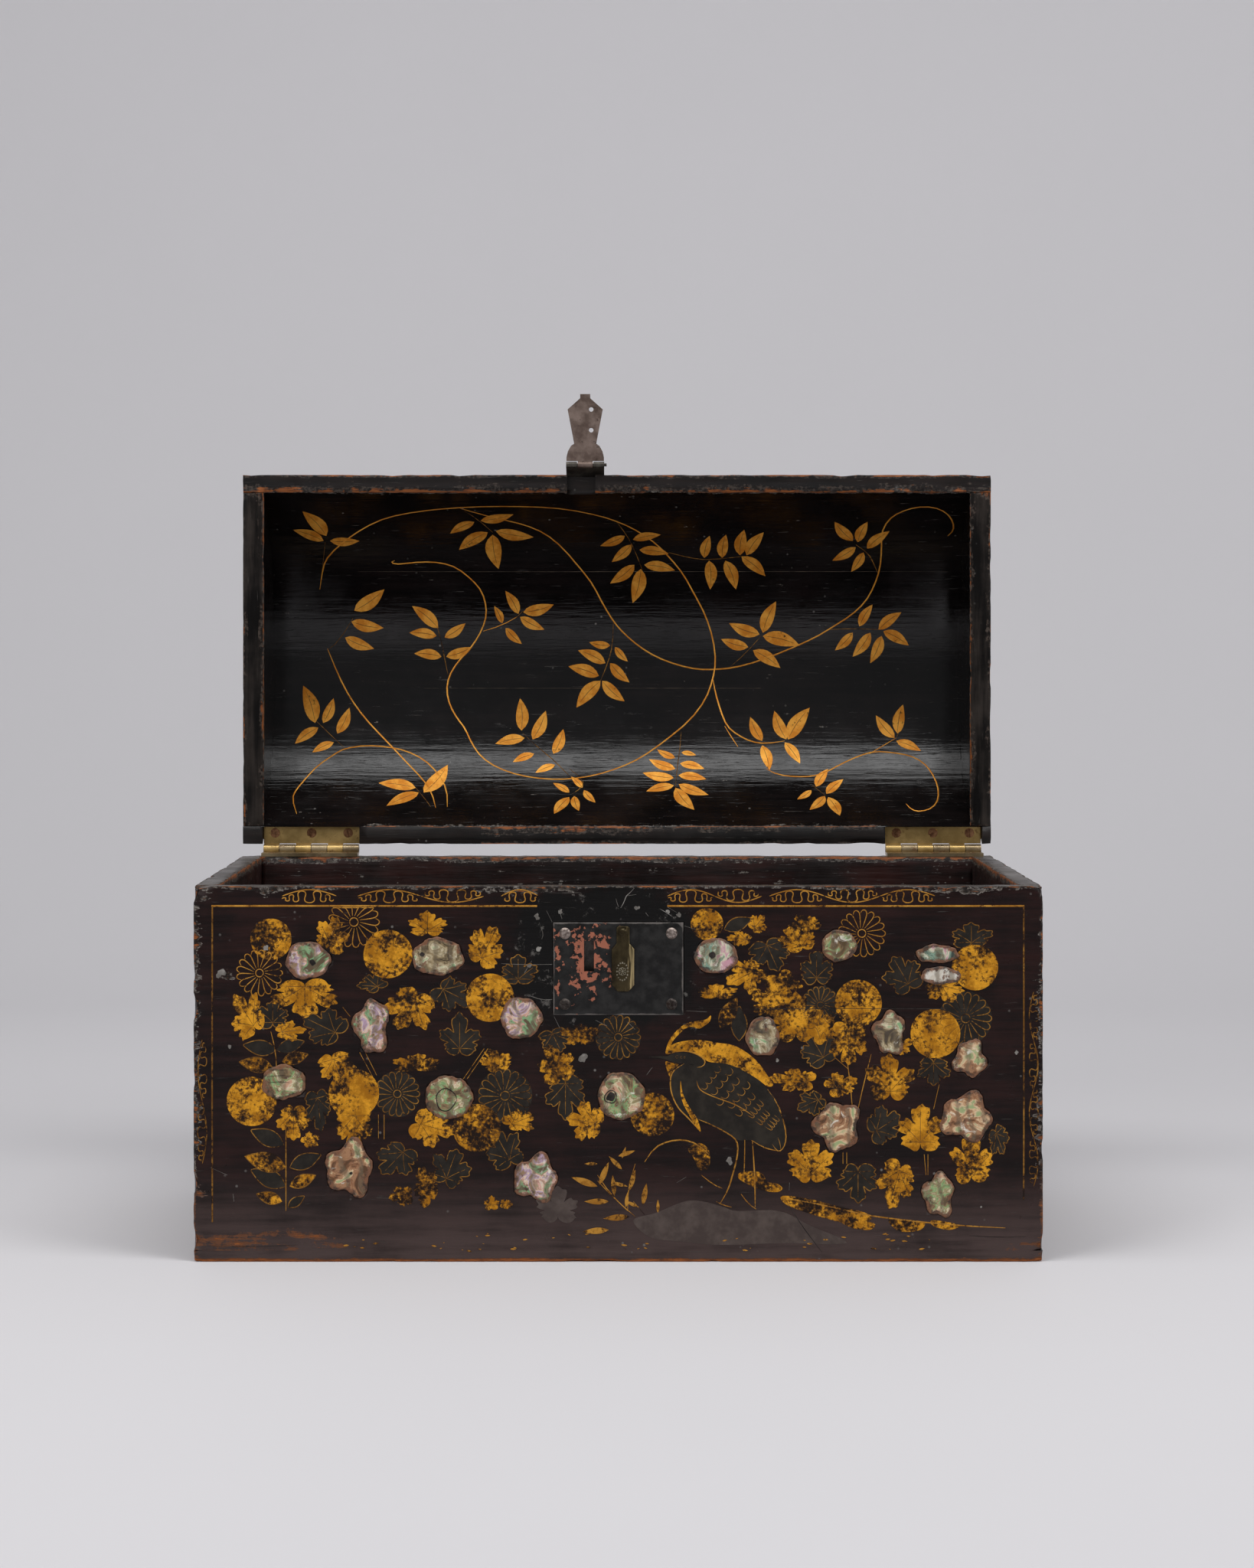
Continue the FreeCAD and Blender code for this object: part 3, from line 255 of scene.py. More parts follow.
def cut_in_steps(shape, low, high, step):
    """Even cuts across all three axes, so that edges can chip and wear can fade."""
    for axis in range(3):
        steps = int((high[axis] - low[axis]) / step)
        for k in range(1, steps + 1):
            point = Vector((0, 0, 0))
            normal = Vector((0, 0, 0))
            point[axis] = low[axis] + (high[axis] - low[axis]) * k / (steps + 1)
            normal[axis] = 1
            cut_across(shape, point, normal)


def box_edges(shape, low, high):
    """The edges where two sides of the board's own box meet."""
    def sides(vert):
        found = set()
        for axis in range(3):
            if abs(vert.co[axis] - low[axis]) < TOUCH:
                found.add((axis, "low"))
            if abs(vert.co[axis] - high[axis]) < TOUCH:
                found.add((axis, "high"))
        return found
    return [e for e in shape.edges if len(sides(e.verts[0]) & sides(e.verts[1])) >= 2]


def distance_to_lines(points, lines):
    """How far each point is from the nearest of the lines."""
    nearest = np.full(len(points), 1.0)
    for start, end in lines:
        run = end - start
        share = np.clip((points - start) @ run / max(run @ run, 1e-12), 0, 1)
        nearest = np.minimum(nearest, np.linalg.norm(points - start - share[:, None] * run, axis=1))
    return nearest


def chip_edges(shape, lines, scars=(), depth=CHIP_DEPTH):
    """Marks the wear near the worn edges and the scars, and sinks the edges into chips and nibbles."""
    shape.verts.ensure_lookup_table()
    shape.normal_update()
    places = np.array([v.co for v in shape.verts])
    away = distance_to_lines(places, lines)
    scarred = SCAR_WEAR * np.maximum(0.0, 1.0 - distance_to_lines(places, scars) / SCAR_REACH)
    worn = shape.verts.layers.float.new("wear")
    normals = [v.normal.copy() for v in shape.verts]
    for vert, gap, scar, normal in zip(shape.verts, away, scarred, normals):
        vert[worn] = max(scar, 1.0 - gap / WEAR_REACH)
        if gap < CHIP_REACH:
            chip = max(0.0, noise.noise(vert.co * CHIP_LENGTH_PER_M) - CHIP_FROM) * CHIP_SHARE
            nibble = max(0.0, noise.noise(vert.co * NIBBLE_PER_M)) * NIBBLE_SHARE
            vert.co -= normal * min(1.0, chip + nibble) * depth * (1.0 - gap / CHIP_REACH)


def finish_piece(shape, name, materials, body, smooth_below=35):
    """The bmesh as a piece of the object, riding on its body."""
    mesh = bpy.data.meshes.new(name)
    shape.to_mesh(mesh)
    shape.free()
    for material in materials:
        mesh.materials.append(material)
    mesh.shade_smooth()
    mesh.set_sharp_from_angle(angle=math.radians(smooth_below))
    piece = bpy.data.objects.new(name, mesh)
    bpy.context.scene.collection.objects.link(piece)
    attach(piece, body)
    return piece


def lines_of(edges):
    return [(np.array(e.verts[0].co), np.array(e.verts[1].co)) for e in edges]


def bite(shape, x, up, reach, depth):
    """A piece broken out round one place on an edge of the front."""
    shape.normal_update()
    spot = Vector((x, FRONT_FACE, up)) * MM
    broken = [(v, (v.co - spot).length / (reach * MM), v.normal.copy()) for v in shape.verts]
    for vert, share, normal in broken:
        if share < 1:
            ragged = 1 + BITE_RAGGED * noise.noise(vert.co * NIBBLE_PER_M)
            vert.co -= normal * depth * MM * (1 - share) * ragged


def worn_board(node, body, outside, inside, inward, step, scars=(), bites=()):
    """A board with rounded, chipped edges, finished apart inside and on its rim. Scars and bites are
    places on the front."""
    low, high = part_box(node)
    shape = merged_copy(node)
    edges = [e for e in box_edges(shape, low, high)
             if any(abs(v.co.z - BOTTOM_JOINT) > TOUCH for v in e.verts)]
    lines = lines_of(edges)
    scar_lines = [(np.array((x, FRONT_FACE, up)) * MM, np.array((to_x, FRONT_FACE, to_up)) * MM)
                  for x, up, to_x, to_up in scars]
    round_off(shape, edges, EDGE_ROUND)
    cut_in_steps(shape, low, high, step)
    chip_edges(shape, lines, scar_lines)
    for broken in bites:
        bite(shape, *broken)
    for face in shape.faces:
        on_rim = face.normal.z > FACING and abs(high.z - RIM_HEIGHT) < TOUCH
        face.material_index = 1 if face.normal.dot(inward) > FACING else 2 if on_rim else 0
    piece = finish_piece(shape, "worn_" + node, [outside, inside, rim_lacquer], body)
    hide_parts(node)


FRONT_SCARS = [
    (-224, 187, -213, 199), (-225, 140, -223, 131), (-225, 46, -222, 36), (-224, 12, -188, 13),
    (-188, 13, -178, 17), (-178, 17, -160, 12), (-160, 12, -146, 9), (-222, 8, -170, 7),
    (-196, 198, -186, 195), (160, 198, 190, 196), (-72, 198, -20, 197), (206, 7, 224, 9),
    (-209, 153, -206, 151), (-224, 60, -224, 190), (224, 44, 224, 150)]
FRONT_BITES = [
    (-225, 199, 9, 3.2), (-225, 135, 7, 2.6), (-225, 152, 4, 1.6), (-225, 41, 6, 2.2), (-225, 12, 7, 2.4),
    (-225, 96, 4, 1.4), (-190, 199, 5, 1.4), (-45, 199, 5, 1.6), (175, 199, 7, 1.8), (225, 199, 6, 2.2),
    (225, 60, 5, 1.6), (225, 8, 6, 2.2)]
worn_board("front_board", "carcass", front_lacquer, inside_lacquer, Vector((0, 1, 0)), FINE_STEP,
           FRONT_SCARS, FRONT_BITES)
worn_board("back_board", "carcass", back_lacquer, inside_lacquer, Vector((0, -1, 0)), CUT_STEP)
worn_board("left_end_board", "carcass", side_lacquer, inside_lacquer, Vector((1, 0, 0)), CUT_STEP)
worn_board("right_end_board", "carcass", side_lacquer, inside_lacquer, Vector((-1, 0, 0)), CUT_STEP)
worn_board("bottom_board", "carcass", bottom_lacquer, inside_lacquer, Vector((0, 0, 1)), CUT_STEP)


# Pegs: split bamboo, driven through the joints and cut off flush before the lacquer went on, so that
# the boards hide them.
def peg_finish(name):
    material, tree, shader, place = start_finish(name)
    fibre = cloud(tree, stretched(tree, place, (900, 900, 60)), 1, 4)
    colour = tint(tree, between(tree, fibre, 0.35, 0.7), PEG_DARK, PEG_PALE)
    coat(tree, shader, colour, between(tree, fibre, 0.3, 0.7, 0.45, 0.65))
    relief(tree, shader, fibre, 0.0002)
    return material


def dress(material, *nodes):
    """Gives CAD nodes a finish, and leaves their shape alone."""
    for node in nodes:
        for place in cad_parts[node].material_slots:
            place.material = material


PEG_DARK, PEG_PALE = (0.020, 0.012, 0.009), (0.085, 0.050, 0.026)
bamboo_peg = peg_finish("bamboo_peg")
dress(bamboo_peg, "corner_pegs", "bottom_pegs", "lid_pegs")


# Front picture: gold and dark lacquer laid on the black in slight relief. Chrysanthemums and their
# leaves spread from both ends, and a heron stands by a bank, below the lock and to its right.
def gold_finish(name, bright, deep, kept):
    """Gold powder in lacquer, thinned to brown and rubbed through; kept is roughly the share left."""
    material, tree, shader, place = start_finish(name)
    flecks = cloud(tree, place, 520, 8, 0.72)
    patches = cloud(tree, place, 95, 5, 0.65)
    left = combine(tree, combine(tree, flecks, 0.5, "MULTIPLY"), combine(tree, patches, 0.5, "MULTIPLY"))
    limit = 0.62 - 0.22 * kept
    thin = between(tree, left, limit - 0.035, limit + 0.02)
    whole = between(tree, left, limit + 0.01, limit + 0.075)
    gold = tint(tree, between(tree, cloud(tree, place, 110, 7, 0.72), 0.38, 0.62), deep, bright)
    colour = tint(tree, whole, tint(tree, thin, GOLD_GROUND, GOLD_THIN), gold)
    tree.links.new(combine(tree, whole, 0.35, "MULTIPLY"), shader.inputs["Metallic"])
    coat(tree, shader, colour, between(tree, flecks, 0.3, 0.7, 0.34, 0.5), sheen=0.12)
    relief(tree, shader, whole, 0.00006)
    return material


def dark_relief_finish(name, dark, pale):
    material, tree, shader, place = start_finish(name)
    dusty = cloud(tree, place, 130, 6)
    colour = tint(tree, between(tree, dusty, 0.35, 0.72), dark, pale)
    coat(tree, shader, colour, between(tree, dusty, 0.3, 0.7, 0.36, 0.52), sheen=0.2)
    relief(tree, shader, cloud(tree, place, 700, 4), 0.00005)
    return material


GOLD_BRIGHT, GOLD_DEEP = (0.84, 0.390, 0.028), (0.40, 0.160, 0.010)
GOLD_THIN, GOLD_GROUND = (0.135, 0.056, 0.0095), (0.016, 0.0085, 0.0060)
gold_kept = gold_finish("gold_kept", GOLD_BRIGHT, GOLD_DEEP, kept=0.80)
gold_worn = gold_finish("gold_worn", GOLD_BRIGHT, GOLD_DEEP, kept=0.61)
gold_line = gold_finish("gold_line", (0.56, 0.275, 0.045), (0.34, 0.145, 0.020), kept=0.95)
gold_faint = gold_finish("gold_faint", (0.36, 0.175, 0.032), (0.17, 0.075, 0.014), kept=0.72)
dark_relief = dark_relief_finish("dark_relief", (0.0125, 0.0098, 0.0074), (0.0300, 0.0240, 0.0175))
bank_grey = dark_relief_finish("bank_grey", (0.060, 0.043, 0.038), (0.100, 0.076, 0.066))
crack_brown = dark_relief_finish("crack_brown", (0.0040, 0.0030, 0.0028), (0.050, 0.040, 0.034))
chip_pale = dark_relief_finish("chip_pale", (0.13, 0.118, 0.105), (0.40, 0.38, 0.35))

LEAF_POINTS = 100
LOBE_GAP = 58
LOBE_LENGTHS = [1.18, 0.98, 0.78]
LOBE_TEETH, LOBE_SHOULDER, LOBE_TIP, LEAF_WAVER = 0.065, 2.1, 0.6, 0.24
SINUS, FOOT_SINUS = 0.52, 0.28
VEIN_FOOT, VEIN_REACH = 0.14, 0.42
SLIM_SKEW = 0.85


def lobed_outline(x, up, wide, tall, turn):
    """A five-lobed leaf, in the picture's own millimetres, with its tip turned from upright."""
    points = []
    for k in range(LEAF_POINTS):
        angle = 360 * k / LEAF_POINTS
        from_tip = abs((angle - turn + 180) % 360 - 180)
        lobe = min(2, round(from_tip / LOBE_GAP))
        past_last = from_tip > 2 * LOBE_GAP
        half_gap = 180 - 2 * LOBE_GAP if past_last else LOBE_GAP / 2
        off = min(1.0, abs(from_tip - lobe * LOBE_GAP) / half_gap)
        sinus = FOOT_SINUS if past_last else SINUS
        teeth = 0 if past_last else LOBE_TEETH * math.cos(3 * math.pi * off)
        reach = sinus + (LOBE_LENGTHS[lobe] - sinus) * (1 - off ** LOBE_SHOULDER) ** LOBE_TIP + teeth
        reach *= 1 + LEAF_WAVER * noise.noise(Vector((x * 0.37 + angle * 0.025, up * 0.53, turn * 0.01)))
        bearing = math.radians(angle)
        points.append((x - wide / 2 * reach * math.sin(bearing), up + tall / 2 * reach * math.cos(bearing)))
    return points


def lobe_veins(x, up, wide, tall, turn):
    """Veins from the foot of the leaf to each lobe."""
    foot = math.radians(turn) + math.pi
    start = (x - VEIN_FOOT * wide * math.sin(foot), up + VEIN_FOOT * tall * math.cos(foot))
    veins = []
    for lobe in range(-2, 3):
        bearing = math.radians(turn + lobe * LOBE_GAP)
        reach = VEIN_REACH * LOBE_LENGTHS[abs(lobe)]
        end = (x - reach * wide * math.sin(bearing), up + reach * tall * math.cos(bearing))
        middle = ((start[0] * 0.4 + end[0] * 0.4 + x * 0.2), (start[1] * 0.4 + end[1] * 0.4 + up * 0.2))
        veins.append([start, middle, end])
    return veins


def round_outline(x, up, radius, points=40, waver=0.03):
    """A brushed disc, a little out of round."""
    outline = []
    for k in range(points):
        angle = 2 * math.pi * k / points
        reach = radius * (1 + waver * noise.noise(Vector((x + math.cos(angle), up + math.sin(angle), 0.5))))
        outline.append((x + reach * math.cos(angle), up + reach * math.sin(angle)))
    return outline


def smoothed(outline):
    """The same closed outline, drawn as one flowing line through its points."""
    count = len(outline)
    flowing = []
    for k in range(count):
        before, start, end, after = [Vector(outline[(k + n) % count]) for n in (-1, 0, 1, 2)]
        bend = interpolate_bezier(start, start + (end - before) / 6, end - (after - start) / 6, end, 6)
        flowing += [tuple(point) for point in bend[:-1]]
    return flowing


def slim_outline(foot_x, foot_up, tip_x, tip_up, fullness, points=9):
    """A smooth pointed leaf from foot to tip."""
    foot, tip = Vector((foot_x, foot_up)), Vector((tip_x, tip_up))
    across = Vector((foot_up - tip_up, tip_x - foot_x)) * fullness / 2
    right = []
    left = []
    for k in range(points + 1):
        share = k / points
        swell = across * math.sin(math.pi * share ** SLIM_SKEW)
        if k < points:
            right.append(foot.lerp(tip, share) - swell)
        if k > 0:
            left.append(foot.lerp(tip, share) + swell)
    return [tuple(p) for p in right + left[::-1]]


RING_POINTS, RING_SIZE = 12, 0.17
PETAL = [(-0.10, 0.24), (-0.44, 0.60), (-0.46, 0.84), (-0.25, 0.96), (0, 0.99), (0.25, 0.96), (0.46, 0.84)]


def flower_strokes(x, up, radius, petals=17):
    """A chrysanthemum head in line: a ring, petals round it, and a scalloped rim."""
    def at(angle, reach):
        return (x + radius * reach * math.cos(angle), up + radius * reach * math.sin(angle))
    strokes = [[at(2 * math.pi * k / RING_POINTS, RING_SIZE) for k in range(RING_POINTS + 1)]]
    step = 2 * math.pi / petals
    for k in range(petals):
        middle = k * step
        strokes.append([at(middle + aside * step, reach) for aside, reach in PETAL])
    return strokes


def closed(outline):
    return outline + outline[:1]


def new_verts(made):
    return [part for part in made["geom"] if isinstance(part, bmesh.types.BMVert)]


def raise_up(shape, verts, by):
    bmesh.ops.translate(shape, verts=verts, vec=(0, 0, by))


def thicken(shape, verts, proud):
    """Turns the flat faces round these corners into a slab."""
    faces = list({face for vert in verts for face in vert.link_faces})
    top = bmesh.ops.extrude_face_region(shape, geom=faces, use_keep_orig=True)
    raise_up(shape, new_verts(top), proud)


def fill_outline(shape, outline, proud):
    """A flat patch with that outline, as a thin slab standing proud of the board."""
    made = bmesh.ops.create_circle(shape, cap_ends=True, segments=len(outline), radius=1)
    for vert, point in zip(made["verts"], outline):
        vert.co = (*point, 0)
    thicken(shape, made["verts"], proud)


def fill_all(shape, outlines, proud, first=0):
    """Patches that may overlap, each a hair above the last."""
    for step, outline in enumerate(outlines, first):
        fill_outline(shape, outline, proud + LAYER_STEP * (step % LAYERS))


def draw_strokes(shape, strokes, width, ends=0.35):
    """Brush lines: round cords along the strokes, pressed flat, thinner at their ends."""
    curve = bpy.data.curves.new("strokes", "CURVE")
    curve.dimensions = "3D"
    curve.bevel_depth = width / 2
    curve.bevel_resolution = 0
    curve.resolution_u = 2
    curve.use_fill_caps = True
    for stroke in strokes:
        spline = curve.splines.new("NURBS")
        spline.points.add(len(stroke) - 1)
        for k, (x, up) in enumerate(stroke):
            spline.points[k].co = (x, up, 0, 1)
            spline.points[k].radius = ends if k in (0, len(stroke) - 1) else 1.0
        spline.order_u = 3
        spline.use_endpoint_u = True
    holder = bpy.data.objects.new("strokes", curve)
    mesh = bpy.data.meshes.new_from_object(holder)
    for vert in mesh.vertices:
        vert.co.z = vert.co.z * STROKE_FLATNESS
    shape.from_mesh(mesh)
    bpy.data.objects.remove(holder)
    bpy.data.curves.remove(curve)
    bpy.data.meshes.remove(mesh)


STROKE_FLATNESS = 0.35
LAYER_STEP, LAYERS = 0.004, 9
DARK_PROUD, GOLD_PROUD, WORN_PROUD, FLOWER_PROUD = 0.040, 0.080, 0.082, 0.120
VEIN_PROUD = FLOWER_PROUD + 5 * LAYER_STEP


def on_front(x, up, proud):
    return Vector((x, FRONT_FACE - proud, up)) * MM


def lay_picture(shape, name, material, surface, body):
    """Carries a drawn layer from the picture's plane on to the surface of the coffer."""
    bmesh.ops.recalc_face_normals(shape, faces=shape.faces)
    for vert in shape.verts:
        vert.co = surface(*vert.co)
    return finish_piece(shape, name, [material], body)


GOLD_DISCS = [(-122, 163, 13.0), (-68, 140, 12.7), (-194, 85, 13.2), (-140, 89, 13.3),
              (127, 137, 12.4), (168, 121, 13.2), (189, 156, 12.1)]
WORN_DISCS = [(-184, 171, 10.9), (-75, 71, 12.7), (18, 78, 11.6), (47, 179, 8.5)]
LINE_FLOWERS = [(-140, 180, 13.7), (-190, 153, 12.4), (129, 174, 12.7)]
DARK_FLOWERS = [(-60, 88, 14.3), (-117, 89, 12.1), (0, 119, 12.0), (107, 136, 10.1), (184, 129, 14.0)]
GOLD_LEAVES = [
    (-152, 171, 20, 22, -20), (-101, 177, 23, 14, 0), (-71, 164, 23, 26, -30), (-166, 143, 39, 22, 180),
    (-109, 136, 27, 27, 150), (-195, 128, 20, 27, 40), (-176, 122, 16, 11, -80), (-150, 105, 23, 19, 200),
    (-172, 77, 19, 20, 180), (-140, 74, 22, 26, 180), (-101, 72, 29, 22, 250), (-54, 74, 20, 14, -60),
    (-164, 64, 11, 9, -60), (-15, 74, 23, 22, 80), (73, 178, 11, 11, -40), (66, 171, 14, 9, 80),
    (96, 169, 23, 14, 20), (70, 153, 22, 19, 120), (172, 145, 23, 13, 200), (122, 119, 23, 27, 180),
    (149, 114, 13, 11, -60), (96, 96, 27, 14, 80), (116, 93, 20, 14, -60), (144, 94, 27, 27, 0),
    (160, 67, 27, 27, 0), (187, 50, 26, 27, 0), (102, 50, 27, 26, 0), (148, 45, 23, 27, 160)]
WORN_LEAVES = [
    (-32, 102, 22, 23, 20), (-18, 120, 22, 13, 70), (-107, 104, 27, 11, 0), (-101, 38, 16, 23, 30),
    (-67, 30, 9, 8, 0), (-59, 30, 7, 6, 40), (86, 148, 22, 19, 200), (94, 125, 30, 27, 0),
    (52, 142, 23, 9, 0), (82, 137, 22, 18, 60), (106, 122, 18, 18, -40),
    (100, 178, 18, 11, 30), (-64, 105, 19, 13, 20), (-113, 35, 14, 12, 100)]
DARK_LEAVES = [
    (-183, 129, 19, 17, 0), (-153, 123, 26, 22, 60), (-90, 143, 23, 20, 240), (-84, 116, 23, 23, 0),
    (-159, 84, 16, 22, 190), (-129, 147, 16, 11, 40), (-53, 152, 22, 17, 0), (-28, 91, 23, 26, 180),
    (-34, 119, 19, 14, 200), (-59, 57, 22, 23, 30), (-116, 56, 23, 20, 140), (-90, 47, 22, 22, -20),
    (80, 165, 25, 20, 200), (187, 171, 23, 14, 0), (152, 150, 23, 23, 30), (105, 153, 20, 19, 0),
    (107, 111, 23, 23, 30), (104, 85, 17, 14, 120), (167, 103, 20, 17, 180), (139, 71, 20, 22, -60),
    (127, 45, 23, 22, 180), (201, 66, 12, 19, -150)]
GREY_LEAF = (-32, 27, 25, 20, 0)
SLIM_DARK_LEAVES = [(-177, 62, -195, 70), (-176, 40, -195, 49), (-174, 50, -157, 57), (-181, 112, -199, 115),
                    (-181, 112, -166, 117), (-175, 29, -166, 35), (64, 117, 64, 136), (56, 176, 71, 182)]
SLIM_GOLD_LEAVES = [
    (-176, 50, -198, 56), (-174, 40, -160, 46), (-183, 103, -201, 106), (-178, 106, -164, 110),
    (-178, 32, -192, 36), (54, 124, 63, 140)]
GRASS_LEAVES = [
    (-11, 40, -25, 45), (-10, 41, -5, 53), (-2, 35, -3, 46), (-3, 42, 5, 40), (-5, 32, -18, 32),
    (6, 24, -8, 23), (-5, 17, -19, 16), (-11, 52, -18, 52), (2, 49, -5, 56), (6, 38, 9, 49),
    (0, 56, 9, 59), (2, 55, 4, 61), (4, 29, 5, 37), (4, 32, 11, 29), (13, 30, 15, 42), (21, 26, 21, 33)]
STEMS = [
    [(-176, 71), (-176, 50), (-176, 27)], [(-184, 122), (-181, 112), (-181, 102)],
    [(-137, 111), (-130, 98)], [(-134, 111), (-128, 99)], [(-82, 97), (-71, 113)],
    [(-80, 97), (-69, 113)], [(-127, 78), (-127, 65)], [(-124, 78), (-124, 65)],
    [(121, 108), (123, 95), (124, 81)], [(134, 110), (130, 95), (127, 81)], [(115, 108), (122, 102)],
    [(170, 94), (167, 81)], [(162, 57), (163, 46)], [(164, 57), (164, 46)], [(119, 58), (119, 52)],
    [(121, 58), (121, 52)], [(-11, 46), (-5, 36), (5, 27)], [(-11, 43), (-2, 33), (9, 24)],
    [(9, 52), (4, 38), (5, 27)], [(8, 32), (14, 25)], [(-92, 158), (-86, 163)],
    [(-146, 135), (-142, 130)]]
HERON_BODY = [
    (35, 105), (31, 103), (28, 99.5), (27.5, 95), (28, 90), (30, 84.5), (33, 80), (37.5, 77),
    (42.5, 75.5), (47, 74), (53, 71), (58.5, 68), (63.5, 64.5), (70.5, 64.5), (76, 61), (81, 59.5),
    (86, 58.5), (88.5, 62), (89, 68), (87, 76.5), (83.5, 86), (79, 91.5), (73.5, 97), (65, 102),
    (57, 105), (47, 105.5), (41, 104)]
HERON_HEAD = [
    (16, 108.5), (22, 109), (26, 109), (29.5, 110.5), (35, 111), (41, 109.5), (44.5, 107.5), (46.5, 105),
    (44.5, 103), (41.5, 103), (39.5, 104.5), (35, 105), (30, 105.5), (26, 107), (21.5, 108)]
HERON_GOLD = [
    [(25.5, 110), (26, 113), (29.5, 115.5), (35, 117), (43.5, 117.5), (53, 116), (60, 115), (65.5, 112.5),
     (70.5, 109), (75, 104.5), (78.5, 99.5), (82, 94), (79, 93), (73.5, 97), (65, 102), (57, 105),
     (48, 106), (44, 109), (38.5, 111.5), (31.5, 111.5)],
    [(25, 111), (26, 115), (28, 119), (32, 123.5), (36.5, 126.5), (41.5, 127.5), (46.5, 128.5),
     (49, 130.5), (48.5, 127.5), (45.5, 125), (42.5, 123.5), (39, 124.5), (35.5, 123.5), (32, 120.5),
     (29, 117), (27, 113)], [(25, 106), (28, 105.5), (32, 104.5), (29, 102), (27.5, 98), (26, 101)],
    [(33, 96), (34, 90), (36, 85), (39, 80), (41.5, 76.5), (43, 72.5), (43.5, 69), (40.5, 72.5),
     (37.5, 78), (34.5, 83.5), (33, 89)]]
HERON_LINES = [
    [(35, 105), (31, 103), (28, 99.5), (27.5, 95), (28, 90), (30, 84.5), (33, 80), (37, 76.5), (43.5, 69)],
    [(42.5, 75.5), (49, 73), (58.5, 68), (63, 64.5), (63.5, 59), (62.5, 53), (60.5, 46), (58, 37), (54, 31)],
    [(67, 65), (67, 54), (66.5, 44)], [(71, 64.5), (72, 51), (72.5, 37), (72.5, 29)],
    [(79, 91.5), (83.5, 86), (87, 76.5), (89, 68), (88.5, 62), (86, 58.5), (83.5, 59), (81.5, 62.5)],
    [(84.5, 66), (86, 62.5), (86, 59.5)], [(70.5, 64.5), (76, 61), (81, 59.5), (86, 58.5)],
    [(41.5, 96), (42, 93), (44, 90.5), (48, 88.5), (54.5, 86), (62, 83.5), (68.5, 79.5), (72.5, 76.5)],
    [(26, 110), (31.5, 112), (38.5, 111.5), (44, 109), (46.5, 106), (44.5, 103), (41.5, 103)],
    [(65, 36), (69, 30), (73, 28)], [(44, 46), (51, 40), (55, 39)], [(52, 32), (55, 30), (60, 29)]]
HERON_EYES = [(31.2, 108.6, 0.8), (33.4, 108.4, 0.55), (35.2, 108.3, 0.5)]
EYE_POINTS = 10
WING_ROOT, WING_TIP, WING_HALF = Vector((48, 99.5)), Vector((88, 68)), 9.0
WING_ROWS, ROW_FEATHERS, FIRST_ROW, ROWS_SPAN = 8, 4, 0.06, 0.80
FEATHER_LENGTH, FEATHER_GROWTH, FEATHER_HALF = 2.0, 2.6, 0.24
BANK = [
    (8, 22), (20, 26), (35, 32), (45, 32), (56, 29), (63, 27), (85, 27), (102, 19), (121, 10), (88, 10),
    (54, 9), (32, 11), (17, 13)]
ROCK_LINE = [(14, 53), (18, 60), (26, 64), (35, 65), (43, 62), (48, 57)]
SAND = [
    [(87, 35), (101, 33.4), (116, 29.6), (131, 26), (134, 22.5), (126, 19.5), (112, 22.5), (97, 27),
     (88, 31)], [(118, 23), (129, 22), (136, 20), (133, 17), (124, 18), (118, 21)],
    [(144, 23), (153, 22), (162, 21), (160, 17), (150, 16), (144, 20)],
    [(166, 22), (175, 21), (181, 19), (175, 17), (167, 19)],
    [(37, 60), (43, 63), (48, 59), (48, 50), (43, 49), (40, 55)],
    [(64, 47), (70, 48), (76, 47), (79, 42.5), (84, 41.5), (87, 39), (84, 37), (76, 38), (69, 41),
     (64, 44)]]
SAND_LINE = [(88, 34), (110, 30), (130, 25), (144, 23), (162, 21), (183, 19), (205, 18)]
FRAME_LINES = [
    [(-215.5, 188.5), (-160, 188.6), (-100, 188.4), (-43, 188.5)],
    [(26, 188.5), (90, 188.4), (215, 188.5)]]
SIDE_LINES = [[(-215, 188.5), (-215.2, 110), (-215, 21)], [(214.7, 188.5), (214.9, 110), (214.7, 33)]]
FRAME_TOP = 187.6
FRAME_WIDTH, SIDE_WIDTH, LINE_WIDTH, FINE_LINE = 1.0, 0.8, 0.75, 0.52
VEIN_WIDTH, CRACK_WIDTH = FINE_LINE * 0.6, FINE_LINE * 0.7
DARK_FULLNESS, GOLD_FULLNESS, GRASS_FULLNESS = 0.45, 0.42, 0.24


def wing_scallops():
    """Rows of feathers over the wing, longer towards its tip."""
    along = WING_TIP - WING_ROOT
    ahead = along.normalized()
    across = Vector((-ahead.y, ahead.x))
    strokes = []
    for row in range(WING_ROWS):
        share = FIRST_ROW + ROWS_SPAN * row / (WING_ROWS - 1)
        half = WING_HALF * math.sin(math.pi * min(0.90, share + 0.22)) ** 0.7
        length = FEATHER_LENGTH + FEATHER_GROWTH * share
        for k in range(ROW_FEATHERS):
            middle = WING_ROOT + along * share + across * half * (0.5 * (k + 0.5 * (row % 2)) - 0.87)
            side = across * half * FEATHER_HALF
            back = ahead * length
            left, right = middle - side, middle + side
            scallop = [left - back, left, middle + ahead, right, right - back]
            strokes.append([tuple(point) for point in scallop])
    return strokes


